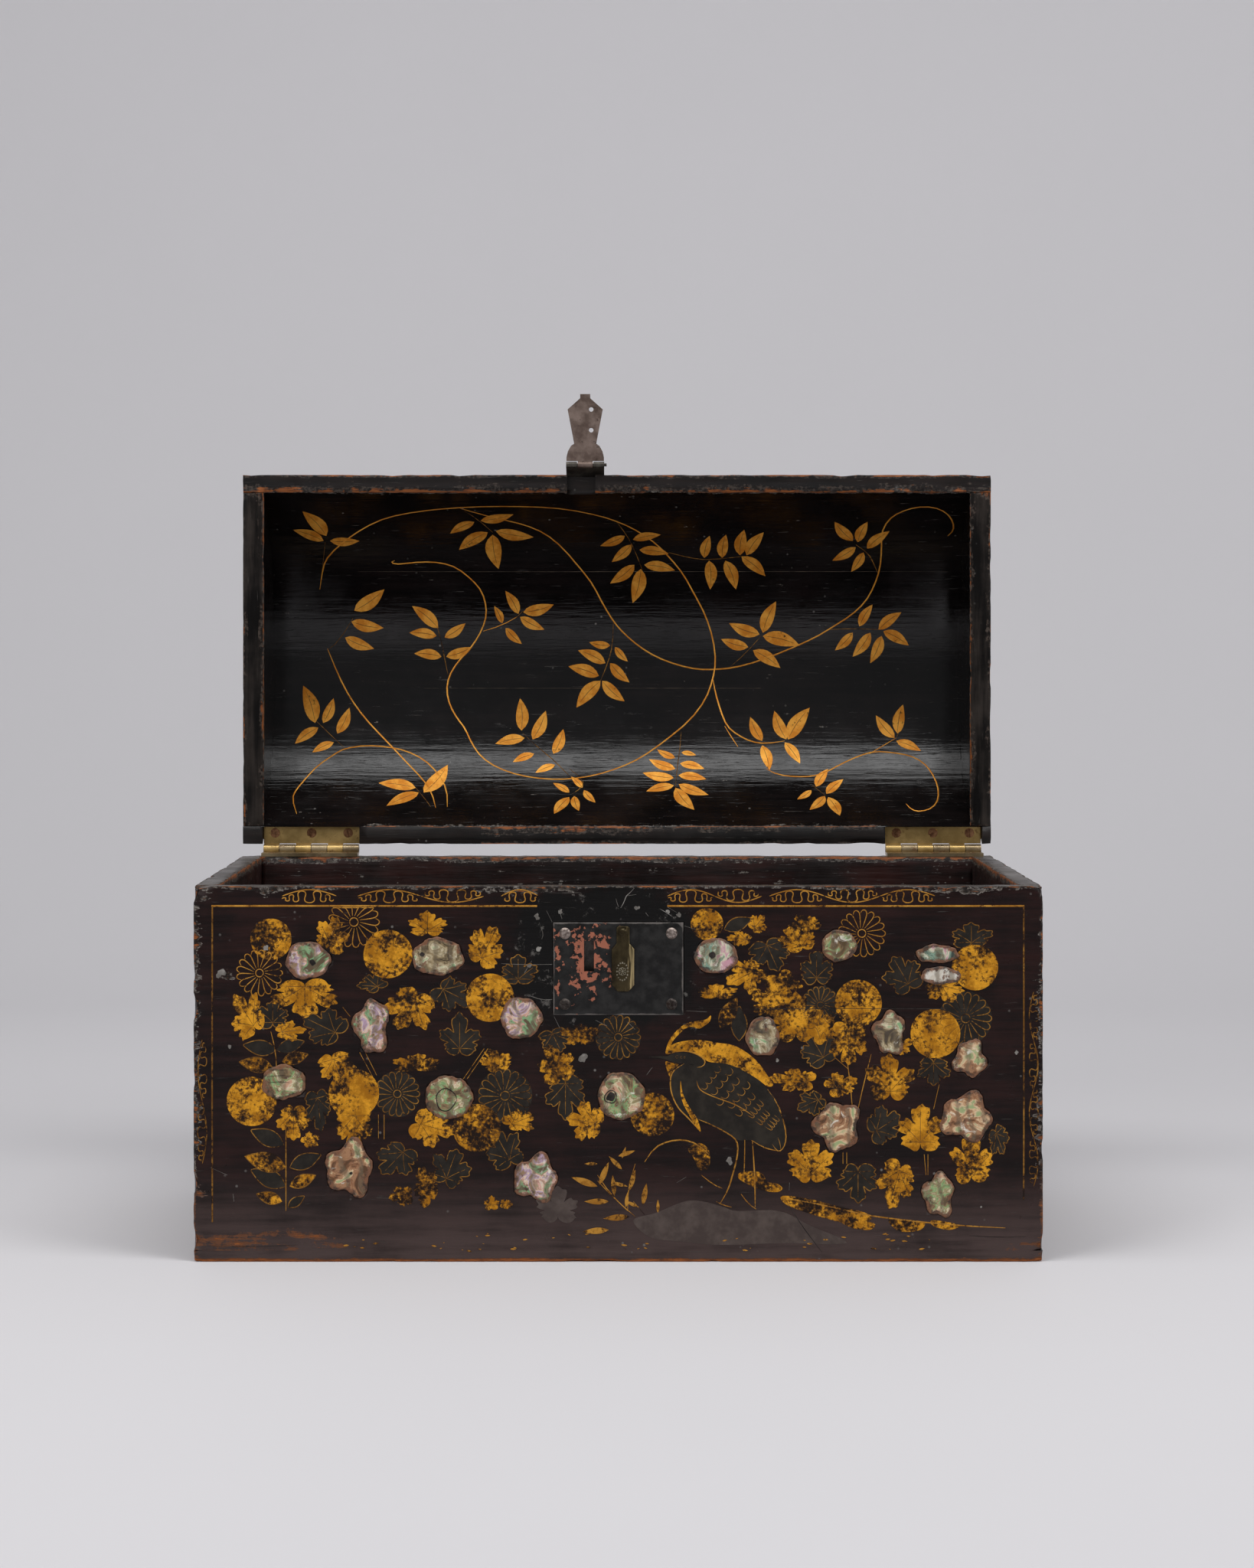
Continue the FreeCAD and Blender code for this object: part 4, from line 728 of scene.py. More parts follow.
def running_scroll(start, end, low, high, place):
    """A vine that waves along a border, with a looping tendril in the hollow of each wave; place turns
    (along, across) into the picture."""
    chance = random.Random(round(start))
    middle, half = (low + high) / 2, (high - low) / 2
    bays = max(1, round((end - start) / SCROLL_BAY))
    bay = (end - start) / bays
    loops = max(FEWEST_LOOPS, round(bay / LOOP_LENGTH) + 0.5)
    steps = round(loops * LOOP_POINTS)
    strokes = []
    for k in range(bays):
        side = 1 if k % 2 == 0 else -1
        left, far_side = start + k * bay, middle - side * half
        vine = [middle + side * VINE_SWAY * half * math.sin(math.pi * n / steps) for n in range(steps + 1)]
        strokes.append([place(left + bay * n / steps, vine[n]) for n in range(0, steps + 1, 3)])
        tendril = []
        for n in range(chance.randint(*TENDRIL_GAP), steps - chance.randint(*TENDRIL_GAP)):
            share = n / steps
            turn = 2 * math.pi * loops * (share + LOOP_EASE * math.sin(2 * math.pi * share))
            bulge = LOOP_BULGE / loops / (1 + 2 * math.pi * LOOP_EASE * math.cos(2 * math.pi * share))
            room = abs(vine[n] - far_side) * (LOOP_LEAST + LOOP_SWELL * math.sin(math.pi * share))
            along = left + bay * (share - bulge * math.sin(2 * turn))
            tendril.append(place(along, (vine[n] + far_side) / 2 + room * math.sin(turn)))
        strokes.append(tendril)
    return strokes


SCROLL_BAY, SCROLL_WIDTH, VINE_SWAY = 28, 0.58, 0.9
LOOP_LENGTH, LOOP_POINTS, FEWEST_LOOPS, TENDRIL_GAP = 6.4, 16, 2.5, (1, 5)
LOOP_BULGE, LOOP_EASE, LOOP_LEAST, LOOP_SWELL = 0.14, 0.07, 0.18, 0.29
BORDER_LOW, BORDER_HIGH = 190.0, 197.5
BORDER_RUNS = [(-178, -149), (-138, -71), (-62, -42), (26, 76), (80, 168)]
SIDE_RUNS = [(-220.3, 52, 118), (220.0, 40, 143)]
SIDE_BORDER_HALF = 2.6

FLECKS, FLECK_SEED, FLECKS_ALONG, FLECKS_UP = 46, 4, (-150, 175), (6, 15)
FLECK_SIZES, FLECK_TILT, FLECK_FULLNESS = (0.4, 1.6), 0.6, 0.3
CRACKS = [
    [(35, 134.2), (80, 133.8), (130, 134.3), (175, 133.9), (214, 134.1)],
    [(88, 34), (94, 24), (101, 14), (108, 5)], [(-37, 147), (-45, 150), (-52, 149)],
    [(-220, 8.5), (-196, 7.5), (-170, 9)], [(186, 14), (202, 12.5), (216, 13.5)]]
CHIP_POINTS, CHIP_WAVER = 14, 0.9
PALE_CHIPS = [
    (-18.5, 108, 2.4), (-211, 153, 2.2), (-206, 114, 0.9), (210.8, 111, 0.9), (58.7, 53.4, 1.9),
    (84.3, 107, 0.9), (192, 29, 0.6), (-186.5, 166, 1.5), (-42, 166, 1.3), (-47, 157, 1.0),
    (-43, 183, 1.5), (32, 184, 1.4), (10, 187.3, 1.1), (-30.6, 185.6, 1.0), (26.5, 185.6, 0.9)]
PALE_SCRATCHES = [
    [(-62, 158), (-50, 157.2), (-35, 157.6)], [(-47, 141), (-40, 138), (-35, 139)],
    [(-35, 180), (-38, 186)], [(35, 178), (41, 176)], [(36, 133), (47, 132.4)], [(31, 42), (36, 45)],
    [(15, 99), (18, 103)], [(90.5, 38), (90.7, 42)], [(-34, 130), (-31, 124)], [(-12, 128), (-6, 125)],
    [(5, 127), (9, 123)], [(-204, 36), (-203.5, 32)], [(-216, 50), (-207, 46)],
    [(8.5, 198), (6.5, 195.6), (4, 193.8), (3.2, 190.5), (1.3, 187.5)], [(4, 193.8), (9.5, 194.6)],
    [(-1.2, 192.5), (-0.8, 190), (0.2, 188)], [(-31, 187), (-30.6, 184), (-29.8, 181.6)],
    [(22, 187), (25, 185.4), (28.5, 183)], [(26, 188), (31, 185)], [(14.5, 185), (16, 183)],
    [(-45.8, 159.5), (-49.7, 153)], [(-41, 177), (-39, 173.5), (-40.5, 171)]]


def below_frame(strokes):
    """Strokes that stop at the top line of the frame."""
    return [[(x, min(up, FRAME_TOP)) for x, up in stroke] for stroke in strokes]


picture = bmesh.new()
fill_all(picture, [lobed_outline(*leaf) for leaf in DARK_LEAVES], DARK_PROUD)
fill_all(picture, [round_outline(*flower) for flower in DARK_FLOWERS], DARK_PROUD, first=3)
fill_all(picture, [slim_outline(*leaf, DARK_FULLNESS) for leaf in SLIM_DARK_LEAVES], DARK_PROUD)
fill_all(picture, [smoothed(HERON_BODY), smoothed(HERON_HEAD)], FLOWER_PROUD)
lay_picture(picture, "front_dark_relief", dark_relief, on_front, "carcass")

picture = bmesh.new()
fill_outline(picture, smoothed(BANK), FLOWER_PROUD)
fill_outline(picture, lobed_outline(*GREY_LEAF), FLOWER_PROUD)
lay_picture(picture, "front_bank", bank_grey, on_front, "carcass")

picture = bmesh.new()
fill_all(picture, [lobed_outline(*leaf) for leaf in GOLD_LEAVES], GOLD_PROUD)
fill_all(picture, [round_outline(*disc) for disc in GOLD_DISCS], FLOWER_PROUD, first=4)
fill_all(picture, [smoothed(part) for part in HERON_GOLD], FLOWER_PROUD, first=2)
lay_picture(picture, "front_gold_relief", gold_kept, on_front, "carcass")

picture = bmesh.new()
fill_all(picture, [lobed_outline(*leaf) for leaf in WORN_LEAVES], WORN_PROUD, first=2)
fill_all(picture, [round_outline(*disc) for disc in WORN_DISCS], WORN_PROUD)
fill_all(picture, [slim_outline(*leaf, GOLD_FULLNESS) for leaf in SLIM_GOLD_LEAVES], WORN_PROUD)
fill_all(picture, [smoothed(streak) for streak in SAND], WORN_PROUD)
lay_picture(picture, "front_gold_rubbed", gold_worn, on_front, "carcass")

picture = bmesh.new()
draw_strokes(picture, FRAME_LINES, FRAME_WIDTH, ends=1.0)
draw_strokes(picture, STEMS + [SAND_LINE, ROCK_LINE] + HERON_LINES, LINE_WIDTH)
draw_strokes(picture, wing_scallops(), FINE_LINE)
draw_strokes(picture, [closed(round_outline(*eye, EYE_POINTS)) for eye in HERON_EYES], VEIN_WIDTH)
for flower in LINE_FLOWERS:
    draw_strokes(picture, below_frame(flower_strokes(*flower)), FINE_LINE)
for start, end in BORDER_RUNS:
    scroll = running_scroll(start, end, BORDER_LOW, BORDER_HIGH, lambda a, b: (a, b))
    draw_strokes(picture, scroll, SCROLL_WIDTH)
fill_all(picture, [slim_outline(*leaf, GRASS_FULLNESS) for leaf in GRASS_LEAVES], GOLD_PROUD)
flecks = random.Random(FLECK_SEED)
for k in range(FLECKS):
    x, up = flecks.uniform(*FLECKS_ALONG), flecks.uniform(*FLECKS_UP)
    size = flecks.uniform(*FLECK_SIZES)
    tilt = flecks.uniform(-FLECK_TILT, FLECK_TILT)
    fill_outline(picture, slim_outline(x - size, up, x + size, up + tilt, FLECK_FULLNESS), GOLD_PROUD)
raise_up(picture, picture.verts, GOLD_PROUD)
lay_picture(picture, "front_gold_lines", gold_line, on_front, "carcass")

picture = bmesh.new()
draw_strokes(picture, SIDE_LINES, SIDE_WIDTH, ends=1.0)
for x, start, end in SIDE_RUNS:
    scroll = running_scroll(start, end, x - SIDE_BORDER_HALF, x + SIDE_BORDER_HALF, lambda a, b: (b, a))
    draw_strokes(picture, scroll, FINE_LINE)
for flower in DARK_FLOWERS:
    draw_strokes(picture, flower_strokes(*flower), FINE_LINE)
for leaf in DARK_LEAVES:
    draw_strokes(picture, [closed(lobed_outline(*leaf))] + lobe_veins(*leaf), FINE_LINE)
for leaf in SLIM_DARK_LEAVES + SLIM_GOLD_LEAVES:
    draw_strokes(picture, [closed(slim_outline(*leaf, DARK_FULLNESS))], FINE_LINE)
raise_up(picture, picture.verts, GOLD_PROUD)
lay_picture(picture, "front_faint_lines", gold_faint, on_front, "carcass")

picture = bmesh.new()
for leaf in GOLD_LEAVES:
    draw_strokes(picture, lobe_veins(*leaf), VEIN_WIDTH)
draw_strokes(picture, CRACKS, CRACK_WIDTH)
raise_up(picture, picture.verts, VEIN_PROUD)
lay_picture(picture, "front_cracks_and_veins", crack_brown, on_front, "carcass")

picture = bmesh.new()
draw_strokes(picture, PALE_SCRATCHES, CRACK_WIDTH)
raise_up(picture, picture.verts, FLOWER_PROUD)
for chip in PALE_CHIPS:
    fill_outline(picture, round_outline(*chip, CHIP_POINTS, CHIP_WAVER), FLOWER_PROUD)
lay_picture(picture, "front_pale_chips", chip_pale, on_front, "carcass")


# Other faces: the ends, the back and the outside of the lid carry the same flowers, in fewer and plainer
# sprays inside a gold line. None of them is seen, so this much is a guess.
END_FACE, BACK_FACE = 225, 111


def on_left_end(x, up, proud):
    return Vector((-END_FACE - proud, -x, up)) * MM


def on_right_end(x, up, proud):
    return Vector((END_FACE + proud, x, up)) * MM


def on_back(x, up, proud):
    return Vector((-x, BACK_FACE + proud, up)) * MM


def on_lid_left_end(x, up, proud):
    return Vector((-END_FACE - proud, LID_RIM_Y + up, LID_AXIS_Z - x)) * MM


def on_lid_right_end(x, up, proud):
    return Vector((END_FACE + proud, LID_RIM_Y + up, LID_AXIS_Z + x)) * MM


def on_lid_outside(x, up, proud):
    """The outside of the dome, from its length and the way round from the crown, away from the hasp."""
    angle = -up / LID_ROUND
    arm = LID_ROUND + proud
    return Vector((x, LID_AXIS_Y + arm * math.cos(angle), LID_AXIS_Z + arm * math.sin(angle))) * MM


SPRAY_DISCS = [(0, 40, 12.5), (-26, 17, 11.5), (34, -8, 9.5)]
SPRAY_FLOWERS = [(24, 22, 12)]
SPRAY_GOLD_LEAVES = [
    (-18, 36, 18, 19, 50), (11, 5, 19, 18, -100), (-10, -5, 17, 18, 150), (29, 43, 16, 17, -30),
    (-29, -32, 16, 17, 110)]
SPRAY_DARK_LEAVES = [
    (-38, 35, 19, 19, 60), (14, -19, 19, 19, 200), (-27, -11, 18, 18, 120), (43, 9, 18, 19, -70),
    (24, -36, 18, 18, -110)]
SPRAY_STALKS = [
    [(0, 28), (-5, 10), (-4, -12), (3, -34), (2, -58)],
    [(-25, 6), (-17, -6), (-11, -24), (-2, -42), (1, -58)],
    [(23, 10), (20, -4), (12, -20), (6, -38), (3, -58)], [(-27, -30), (-14, -36), (-4, -46), (1, -58)]]
SPRAY_SIZE = 1.18
LID_ROUND, LID_AXIS_Y, LID_AXIS_Z = 119.64, 67.23, 316.8
LID_RIM_Y = 111.9
STRIP = 4
LINE_STEP, ARCH_STEPS = 8, 24


def oblong(half_wide, low, high):
    return [(-half_wide, low), (half_wide, low), (half_wide, high), (-half_wide, high)]


def lid_arch(radius, low):
    """A round top on a straight foot, about the axis of the dome."""
    start = math.asin((low + LID_RIM_Y - LID_AXIS_Y) / radius)
    angles = [start + (math.pi - 2 * start) * k / ARCH_STEPS for k in range(ARCH_STEPS + 1)]
    return [(radius * math.cos(a), radius * math.sin(a) + LID_AXIS_Y - LID_RIM_Y) for a in angles]


def plain_panel(name, surface, body, line, sprays):
    """A gold line round a face, with sprays at (x, up, size); a size below nothing turns a spray over."""
    gold = bmesh.new()
    dark = bmesh.new()
    lines = bmesh.new()
    for start, end in zip(line, line[1:] + line[:1]):
        start, end = Vector(start), Vector(end)
        steps = max(2, int((end - start).length / LINE_STEP))
        side = [tuple(start.lerp(end, k / steps)) for k in range(steps + 1)]
        draw_strokes(lines, [side], FRAME_WIDTH, ends=1.0)
    for x, up, size in sprays:
        full = abs(size)
        lift = LAYER_STEP / 2 if size < 0 else 0.0

        def place(a, b):
            return x + size * a, up + full * b

        def leaf_shape(a, b, wide, tall, turn):
            return *place(a, b), wide * full, tall * full, math.copysign(turn, turn * size)
        gold_leaves = [lobed_outline(*leaf_shape(*leaf)) for leaf in SPRAY_GOLD_LEAVES]
        discs = [round_outline(*place(a, b), radius * full) for a, b, radius in SPRAY_DISCS]
        dark_leaves = [leaf_shape(*leaf) for leaf in SPRAY_DARK_LEAVES]
        fill_all(gold, gold_leaves, GOLD_PROUD + lift)
        fill_all(gold, discs, FLOWER_PROUD + lift)
        fill_all(dark, [lobed_outline(*leaf) for leaf in dark_leaves], DARK_PROUD + lift)
        for leaf in dark_leaves:
            draw_strokes(lines, [closed(lobed_outline(*leaf))] + lobe_veins(*leaf), FINE_LINE)
        for a, b, radius in SPRAY_FLOWERS:
            draw_strokes(lines, flower_strokes(*place(a, b), radius * full), FINE_LINE)
        draw_strokes(lines, [[place(a, b) for a, b in stalk] for stalk in SPRAY_STALKS], LINE_WIDTH)
    raise_up(lines, lines.verts, GOLD_PROUD)
    low, high = min(up for x, up in line), max(up for x, up in line)
    layers = (gold, "gold", gold_worn), (dark, "dark", dark_relief), (lines, "lines", gold_line)
    for layer, suffix, finish in layers:
        bmesh.ops.triangulate(layer, faces=[f for f in layer.faces if len(f.verts) > 4])
        for k in range(int(low / STRIP), int(high / STRIP) + 1):
            cut_across(layer, (0, k * STRIP, 0), (0, 1, 0))
        lay_picture(layer, name + "_" + suffix, finish, surface, body)


left_sprays = [(-46, 98, SPRAY_SIZE), (46, 92, -SPRAY_SIZE)]
right_sprays = [(-46, 92, SPRAY_SIZE), (46, 98, -SPRAY_SIZE)]
back_sprays = [(-150, 98, SPRAY_SIZE), (-48, 92, -SPRAY_SIZE), (52, 98, SPRAY_SIZE), (152, 93, -SPRAY_SIZE)]
lid_sprays = [
    (-150, -48, SPRAY_SIZE), (-46, -56, -SPRAY_SIZE), (54, -50, SPRAY_SIZE), (152, -54, -SPRAY_SIZE),
    (-100, 72, -SPRAY_SIZE), (4, 66, SPRAY_SIZE), (106, 71, -SPRAY_SIZE)]
lid_end_sprays = [(-44, 26, 0.36), (0, 31, -0.45), (44, 25, -0.36)]
end_line = oblong(half_wide=100, low=18, high=186)
back_line = oblong(half_wide=212, low=18, high=186)
lid_line = oblong(half_wide=212, low=-128, high=128)
lid_end_line = lid_arch(radius=103, low=6)
plain_panel("left_end_picture", on_left_end, "carcass", end_line, left_sprays)
plain_panel("right_end_picture", on_right_end, "carcass", end_line, right_sprays)
plain_panel("back_picture", on_back, "carcass", back_line, back_sprays)
plain_panel("lid_picture", on_lid_outside, "lid", lid_line, lid_sprays)
plain_panel("lid_left_picture", on_lid_left_end, "lid", lid_end_line, lid_end_sprays)
plain_panel("lid_right_picture", on_lid_right_end, "lid", lid_end_line, lid_end_sprays)


# Mother-of-pearl: pieces of abalone shell, cut to flowers and leaves and let into the front. Their
# rims are chipped and stained brown, and the shell shows green, pink and blue.
def shell_finish(name, tones):
    """Shell in a run of soft tones, with growth bands, white glints, brown stains and a ragged brown rim."""
    material, tree, shader, place = start_finish(name)
    drift = cloud(tree, place, 92, 4, 0.55, 1.2)
    ramp = add_node(tree, "ShaderNodeValToRGB", {"Fac": between(tree, drift, 0.36, 0.64)})
    stops = ramp.color_ramp.elements
    for k, tone in enumerate(tones):
        stop = stops[k] if k < 2 else stops.new(1.0)
        stop.position = k / (len(tones) - 1)
        stop.color = (*tone, 1)
    bands = add_node(tree, "ShaderNodeTexWave", {"Vector": place, "Scale": 38, "Distortion": 6, "Detail": 3,
                                                 "Detail Scale": 1.5}).outputs["Fac"]
    colour = tint(tree, between(tree, bands, 0.55, 0.98, 0.0, 0.6), ramp.outputs["Color"], SHELL_SHADE)
    glint = between(tree, cloud(tree, place, 150, 5, 0.65, 0.7), 0.59, 0.70, 0.0, 0.8)
    colour = tint(tree, glint, colour, SHELL_GLINT)
    stain = between(tree, cloud(tree, place, 170, 7, 0.72), 0.56, 0.64, 0.0, 0.9)
    rim = add_node(tree, "ShaderNodeAttribute", attribute_name="rim").outputs["Fac"]
    ragged = combine(tree, rim, swing(tree, cloud(tree, place, 190, 6, 0.7), 2.6))
    dirty = combine(tree, stain, between(tree, ragged, 0.26, 0.66, 0.0, 0.95), "MAXIMUM")
    rust = between(tree, cloud(tree, place, 330, 4), 0.36, 0.58)
    colour = tint(tree, dirty, colour, tint(tree, rust, SHELL_STAIN, SHELL_RUST))
    coat(tree, shader, colour, between(tree, dirty, 0.0, 1.0, 0.16, 0.5))
    shader.inputs["Metallic"].default_value = 0.1
    relief(tree, shader, combine(tree, bands, combine(tree, drift, dirty, "SUBTRACT")), 0.0004)
    return material


SHELL_SHADE, SHELL_GLINT = (0.15, 0.110, 0.062), (0.90, 0.87, 0.75)
SHELL_STAIN, SHELL_RUST = (0.034, 0.016, 0.010), (0.21, 0.085, 0.038)
SHELL_RIM, SHELL_CROWN, SHELL_CHIP = 2.9 * MM, 0.12 * MM, 0.45 * MM
SHELL_STEP, SHELL_GRID = 1.1 * MM, 1.6 * MM
SHELL_CHIP_PER_MM, OTHER_WAY = 0.45, Vector((0, 50, 0))
SHELL_TONES = {
    "rosy": [(0.12, 0.08, 0.04), (0.24, 0.45, 0.22), (0.37, 0.27, 0.16), (0.67, 0.37, 0.3),
        (0.79, 0.64, 0.47), (0.5, 0.35, 0.49), (0.31, 0.2, 0.11)],
    "silver": [(0.07, 0.05, 0.03), (0.22, 0.16, 0.08), (0.37, 0.28, 0.15), (0.53, 0.44, 0.28),
        (0.3, 0.23, 0.12), (0.76, 0.66, 0.45), (0.26, 0.43, 0.21)],
    "green": [(0.11, 0.07, 0.03), (0.3, 0.19, 0.09), (0.18, 0.37, 0.14), (0.4, 0.44, 0.21),
        (0.29, 0.2, 0.09), (0.72, 0.67, 0.42), (0.62, 0.35, 0.22)],
    "blue": [(0.04, 0.06, 0.05), (0.17, 0.23, 0.17), (0.24, 0.41, 0.31), (0.24, 0.21, 0.12),
        (0.46, 0.52, 0.39), (0.74, 0.69, 0.51), (0.62, 0.33, 0.39)],
    "brown": [(0.1, 0.04, 0.01), (0.28, 0.12, 0.05), (0.41, 0.21, 0.1), (0.31, 0.15, 0.07),
        (0.59, 0.35, 0.18), (0.77, 0.55, 0.34), (0.35, 0.42, 0.19)],
    "pale": [(0.66, 0.6, 0.5), (0.78, 0.74, 0.66), (0.72, 0.64, 0.52)]}
SHELL_OF_PIECE = {
    "pearl_flower_1": "rosy", "pearl_flower_2": "silver", "pearl_flower_3": "rosy",
    "pearl_flower_4": "green", "pearl_flower_5": "green", "pearl_flower_6": "green",
    "pearl_flower_7": "blue", "pearl_flower_8": "green",
    "pearl_flower_9_upper": "blue", "pearl_flower_9_lower": "pale", "pearl_flower_10": "silver",
    "pearl_leaf_1": "rosy", "pearl_leaf_2": "brown", "pearl_leaf_3": "rosy", "pearl_leaf_4": "silver",
    "pearl_leaf_5": "brown", "pearl_leaf_6": "brown", "pearl_leaf_7": "brown", "pearl_leaf_8": "green"}

shells = {tone: shell_finish(tone + "_shell", tones) for tone, tones in SHELL_TONES.items()}
for node, tone in SHELL_OF_PIECE.items():
    low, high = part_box(node)
    shape = merged_copy(node)
    for edge in [e for e in shape.edges if abs(e.verts[0].co.y - e.verts[1].co.y) < TOUCH]:
        bmesh.ops.subdivide_edges(shape, edges=[edge], cuts=int(edge.calc_length() / SHELL_STEP))
    for vert in shape.verts:
        spot = Vector((vert.co.x, 0, vert.co.z)) / MM
        vert.co.x += SHELL_CHIP * noise.noise(spot * SHELL_CHIP_PER_MM)
        vert.co.z += SHELL_CHIP * noise.noise(spot * SHELL_CHIP_PER_MM + OTHER_WAY)
    outline = lines_of([e for e in shape.edges if all(abs(v.co.y - low.y) < TOUCH for v in e.verts)])
    cut_in_steps(shape, low, high, SHELL_GRID)
    rim = shape.verts.layers.float.new("rim")
    inward = distance_to_lines(np.array([v.co for v in shape.verts]), outline)
    for vert, gap in zip(shape.verts, inward):
        vert[rim] = max(0.0, 1.0 - gap / SHELL_RIM)
        if abs(vert.co.y - low.y) < TOUCH:
            vert.co.y -= SHELL_CROWN * (1.0 - vert[rim])
    piece = finish_piece(shape, "cut_" + node, [shells[tone]], "carcass", smooth_below=60)
    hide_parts(node)

SHELL_HOLES = [
    (-4.2, 87.3, 2.4), (50, 162.5, 1.7), (-103.8, 162.9, 1.2), (-162, 158.7, 1.5), (-141.6, 46.9, 0.8)]
SHELL_EYES = [(-91.4, 86, 5.2), (-4.2, 87.3, 3.4)]
EYE_LINE, SCRATCH_LINE = 0.5, 0.4
SHELL_SCRATCHES = [[(-95, 161), (-92, 158.5), (-89, 160)], [(-186, 98), (-180, 99.2), (-173, 98.4)],
                   [(-185, 95), (-179, 95.8), (-174, 95)], [(-184, 101.5), (-179, 102), (-175, 101.4)]]
SHELL_FACE_PROUD = 0.62
picture = bmesh.new()
for eye in SHELL_EYES:
    draw_strokes(picture, [closed(round_outline(*eye, points=18, waver=0.25))], EYE_LINE)
draw_strokes(picture, SHELL_SCRATCHES, SCRATCH_LINE)
raise_up(picture, picture.verts, SHELL_FACE_PROUD)
for hole in SHELL_HOLES:
    fill_outline(picture, round_outline(*hole, points=16, waver=0.4), SHELL_FACE_PROUD)
lay_picture(picture, "shell_marks", crack_brown, on_front, "carcass")


# Lock: a black-painted iron plate let into the front, with a slot for the hasp's staple and a brass
# bottle-shaped cover over the keyhole. The works sit in the thickness of the board behind it.
def painted_iron(name):
    material, tree, shader, place = start_finish(name)
    mottle = cloud(tree, place, 160, 6)
    colour = tint(tree, between(tree, mottle, 0.35, 0.7), PLATE_BLACK, PLATE_GREY)
    from_slot = far_from(tree, stretched(tree, place, FLAKED_SPREAD), FLAKED_SPOT)
    fading = combine(tree, from_slot, 0.20, "MULTIPLY")
    ragged = combine(tree, cloud(tree, place, 290, 5, 0.55), fading, "SUBTRACT")
    across = add_node(tree, "ShaderNodeSeparateXYZ", {0: place}).outputs["X"]
    strip = between(tree, across, *FLAKED_STRIP, 0.14, 0.0)
    flaked = between(tree, combine(tree, ragged, strip), 0.405, 0.42)
    colour = tint(tree, flaked, colour, tint(tree, mottle, PRIMER_DEEP, PRIMER_PINK))
    edge = add_node(tree, "ShaderNodeAttribute", attribute_name="wear").outputs["Fac"]
    bright = between(tree, combine(tree, edge, cloud(tree, place, 90)), 1.25, 1.5)
    colour = tint(tree, bright, colour, PLATE_EDGE)
    dull = combine(tree, flaked, 0.3, "MULTIPLY")
    coat(tree, shader, colour, combine(tree, dull, between(tree, mottle, 0.3, 0.7, 0.3, 0.48)), sheen=0.25)
    relief(tree, shader, combine(tree, mottle, combine(tree, flaked, -2.0, "MULTIPLY")), 0.0003)
    return material


def metal(name, dark, light, stain, rough, scale=240, highlight_side=None, painted_below=None):
    """Aged metal: cloudy tarnish and stains; a painted highlight past one side; black with paint below one
    height.
    """
    material, tree, shader, place = start_finish(name)
    tarnish = cloud(tree, place, scale, 6, 0.65)
    colour = tint(tree, between(tree, tarnish, 0.34, 0.68), dark, light)
    spots = between(tree, cloud(tree, place, 130, 6, 0.7), 0.56, 0.68, 0.0, 0.85)
    colour = tint(tree, spots, colour, stain)
    apart = add_node(tree, "ShaderNodeSeparateXYZ", {0: place})
    # Past one side, the colour turns to pale brass in broken streaks. This is a painted highlight, standing
    # for the light caught on the rounded cover's side.
    if highlight_side:
        highlight_streaks = swing(tree, cloud(tree, stretched(tree, place, (1500, 1500, 70)), 1, 3), 0.011)
        across = combine(tree, apart.outputs["X"], highlight_streaks)
        rubbed = between(tree, across, highlight_side, highlight_side + 0.003, 0.0, 0.85)
        colour = tint(tree, rubbed, colour, HIGHLIGHT_BRASS)
    if painted_below:
        painted = between(tree, apart.outputs["Z"], painted_below, painted_below + 0.002, 0.82, 0.0)
        colour = tint(tree, painted, colour, PLATE_BLACK)
    polish = between(tree, tarnish, 0.3, 0.7, rough, rough + 0.16)
    coat(tree, shader, colour, combine(tree, polish, combine(tree, spots, 0.2, "MULTIPLY")))
    shader.inputs["Metallic"].default_value = 0.85
    relief(tree, shader, combine(tree, tarnish, spots), 0.00012)
    return material


PLATE_BLACK, PLATE_GREY, PLATE_EDGE = (0.0052, 0.0048, 0.0046), (0.021, 0.020, 0.019), (0.14, 0.125, 0.115)
PRIMER_PINK, PRIMER_DEEP = (0.46, 0.165, 0.098), (0.25, 0.078, 0.046)
FLAKED_SPREAD, FLAKED_SPOT, FLAKED_STRIP = (75, 0, 48), (-1.20, 0.0, 7.63), (-0.0318, -0.0300)
black_paint = painted_iron("black_paint")
PAINTED_SCREWS = 148 * MM
screw_steel = metal("screw_steel", (0.14, 0.105, 0.090), (0.46, 0.39, 0.35), (0.14, 0.065, 0.040),
                    rough=0.32, scale=500, painted_below=PAINTED_SCREWS)
bare_iron = metal("bare_iron", (0.07, 0.062, 0.058), (0.20, 0.18, 0.165), (0.085, 0.040, 0.024), rough=0.4)
# The keyhole cover's right side is painted bright, as a highlight.
HIGHLIGHT_BRASS, HIGHLIGHT_SIDE = (0.52, 0.40, 0.20), 5 * MM
cover_brass = metal("cover_brass", (0.030, 0.022, 0.010), (0.062, 0.046, 0.021), (0.018, 0.013, 0.008),
                    rough=0.26, scale=140, highlight_side=HIGHLIGHT_SIDE)
rosette_brass = metal("rosette_brass", (0.12, 0.10, 0.06), (0.46, 0.42, 0.33), (0.03, 0.025, 0.02),
                      rough=0.3, scale=900)

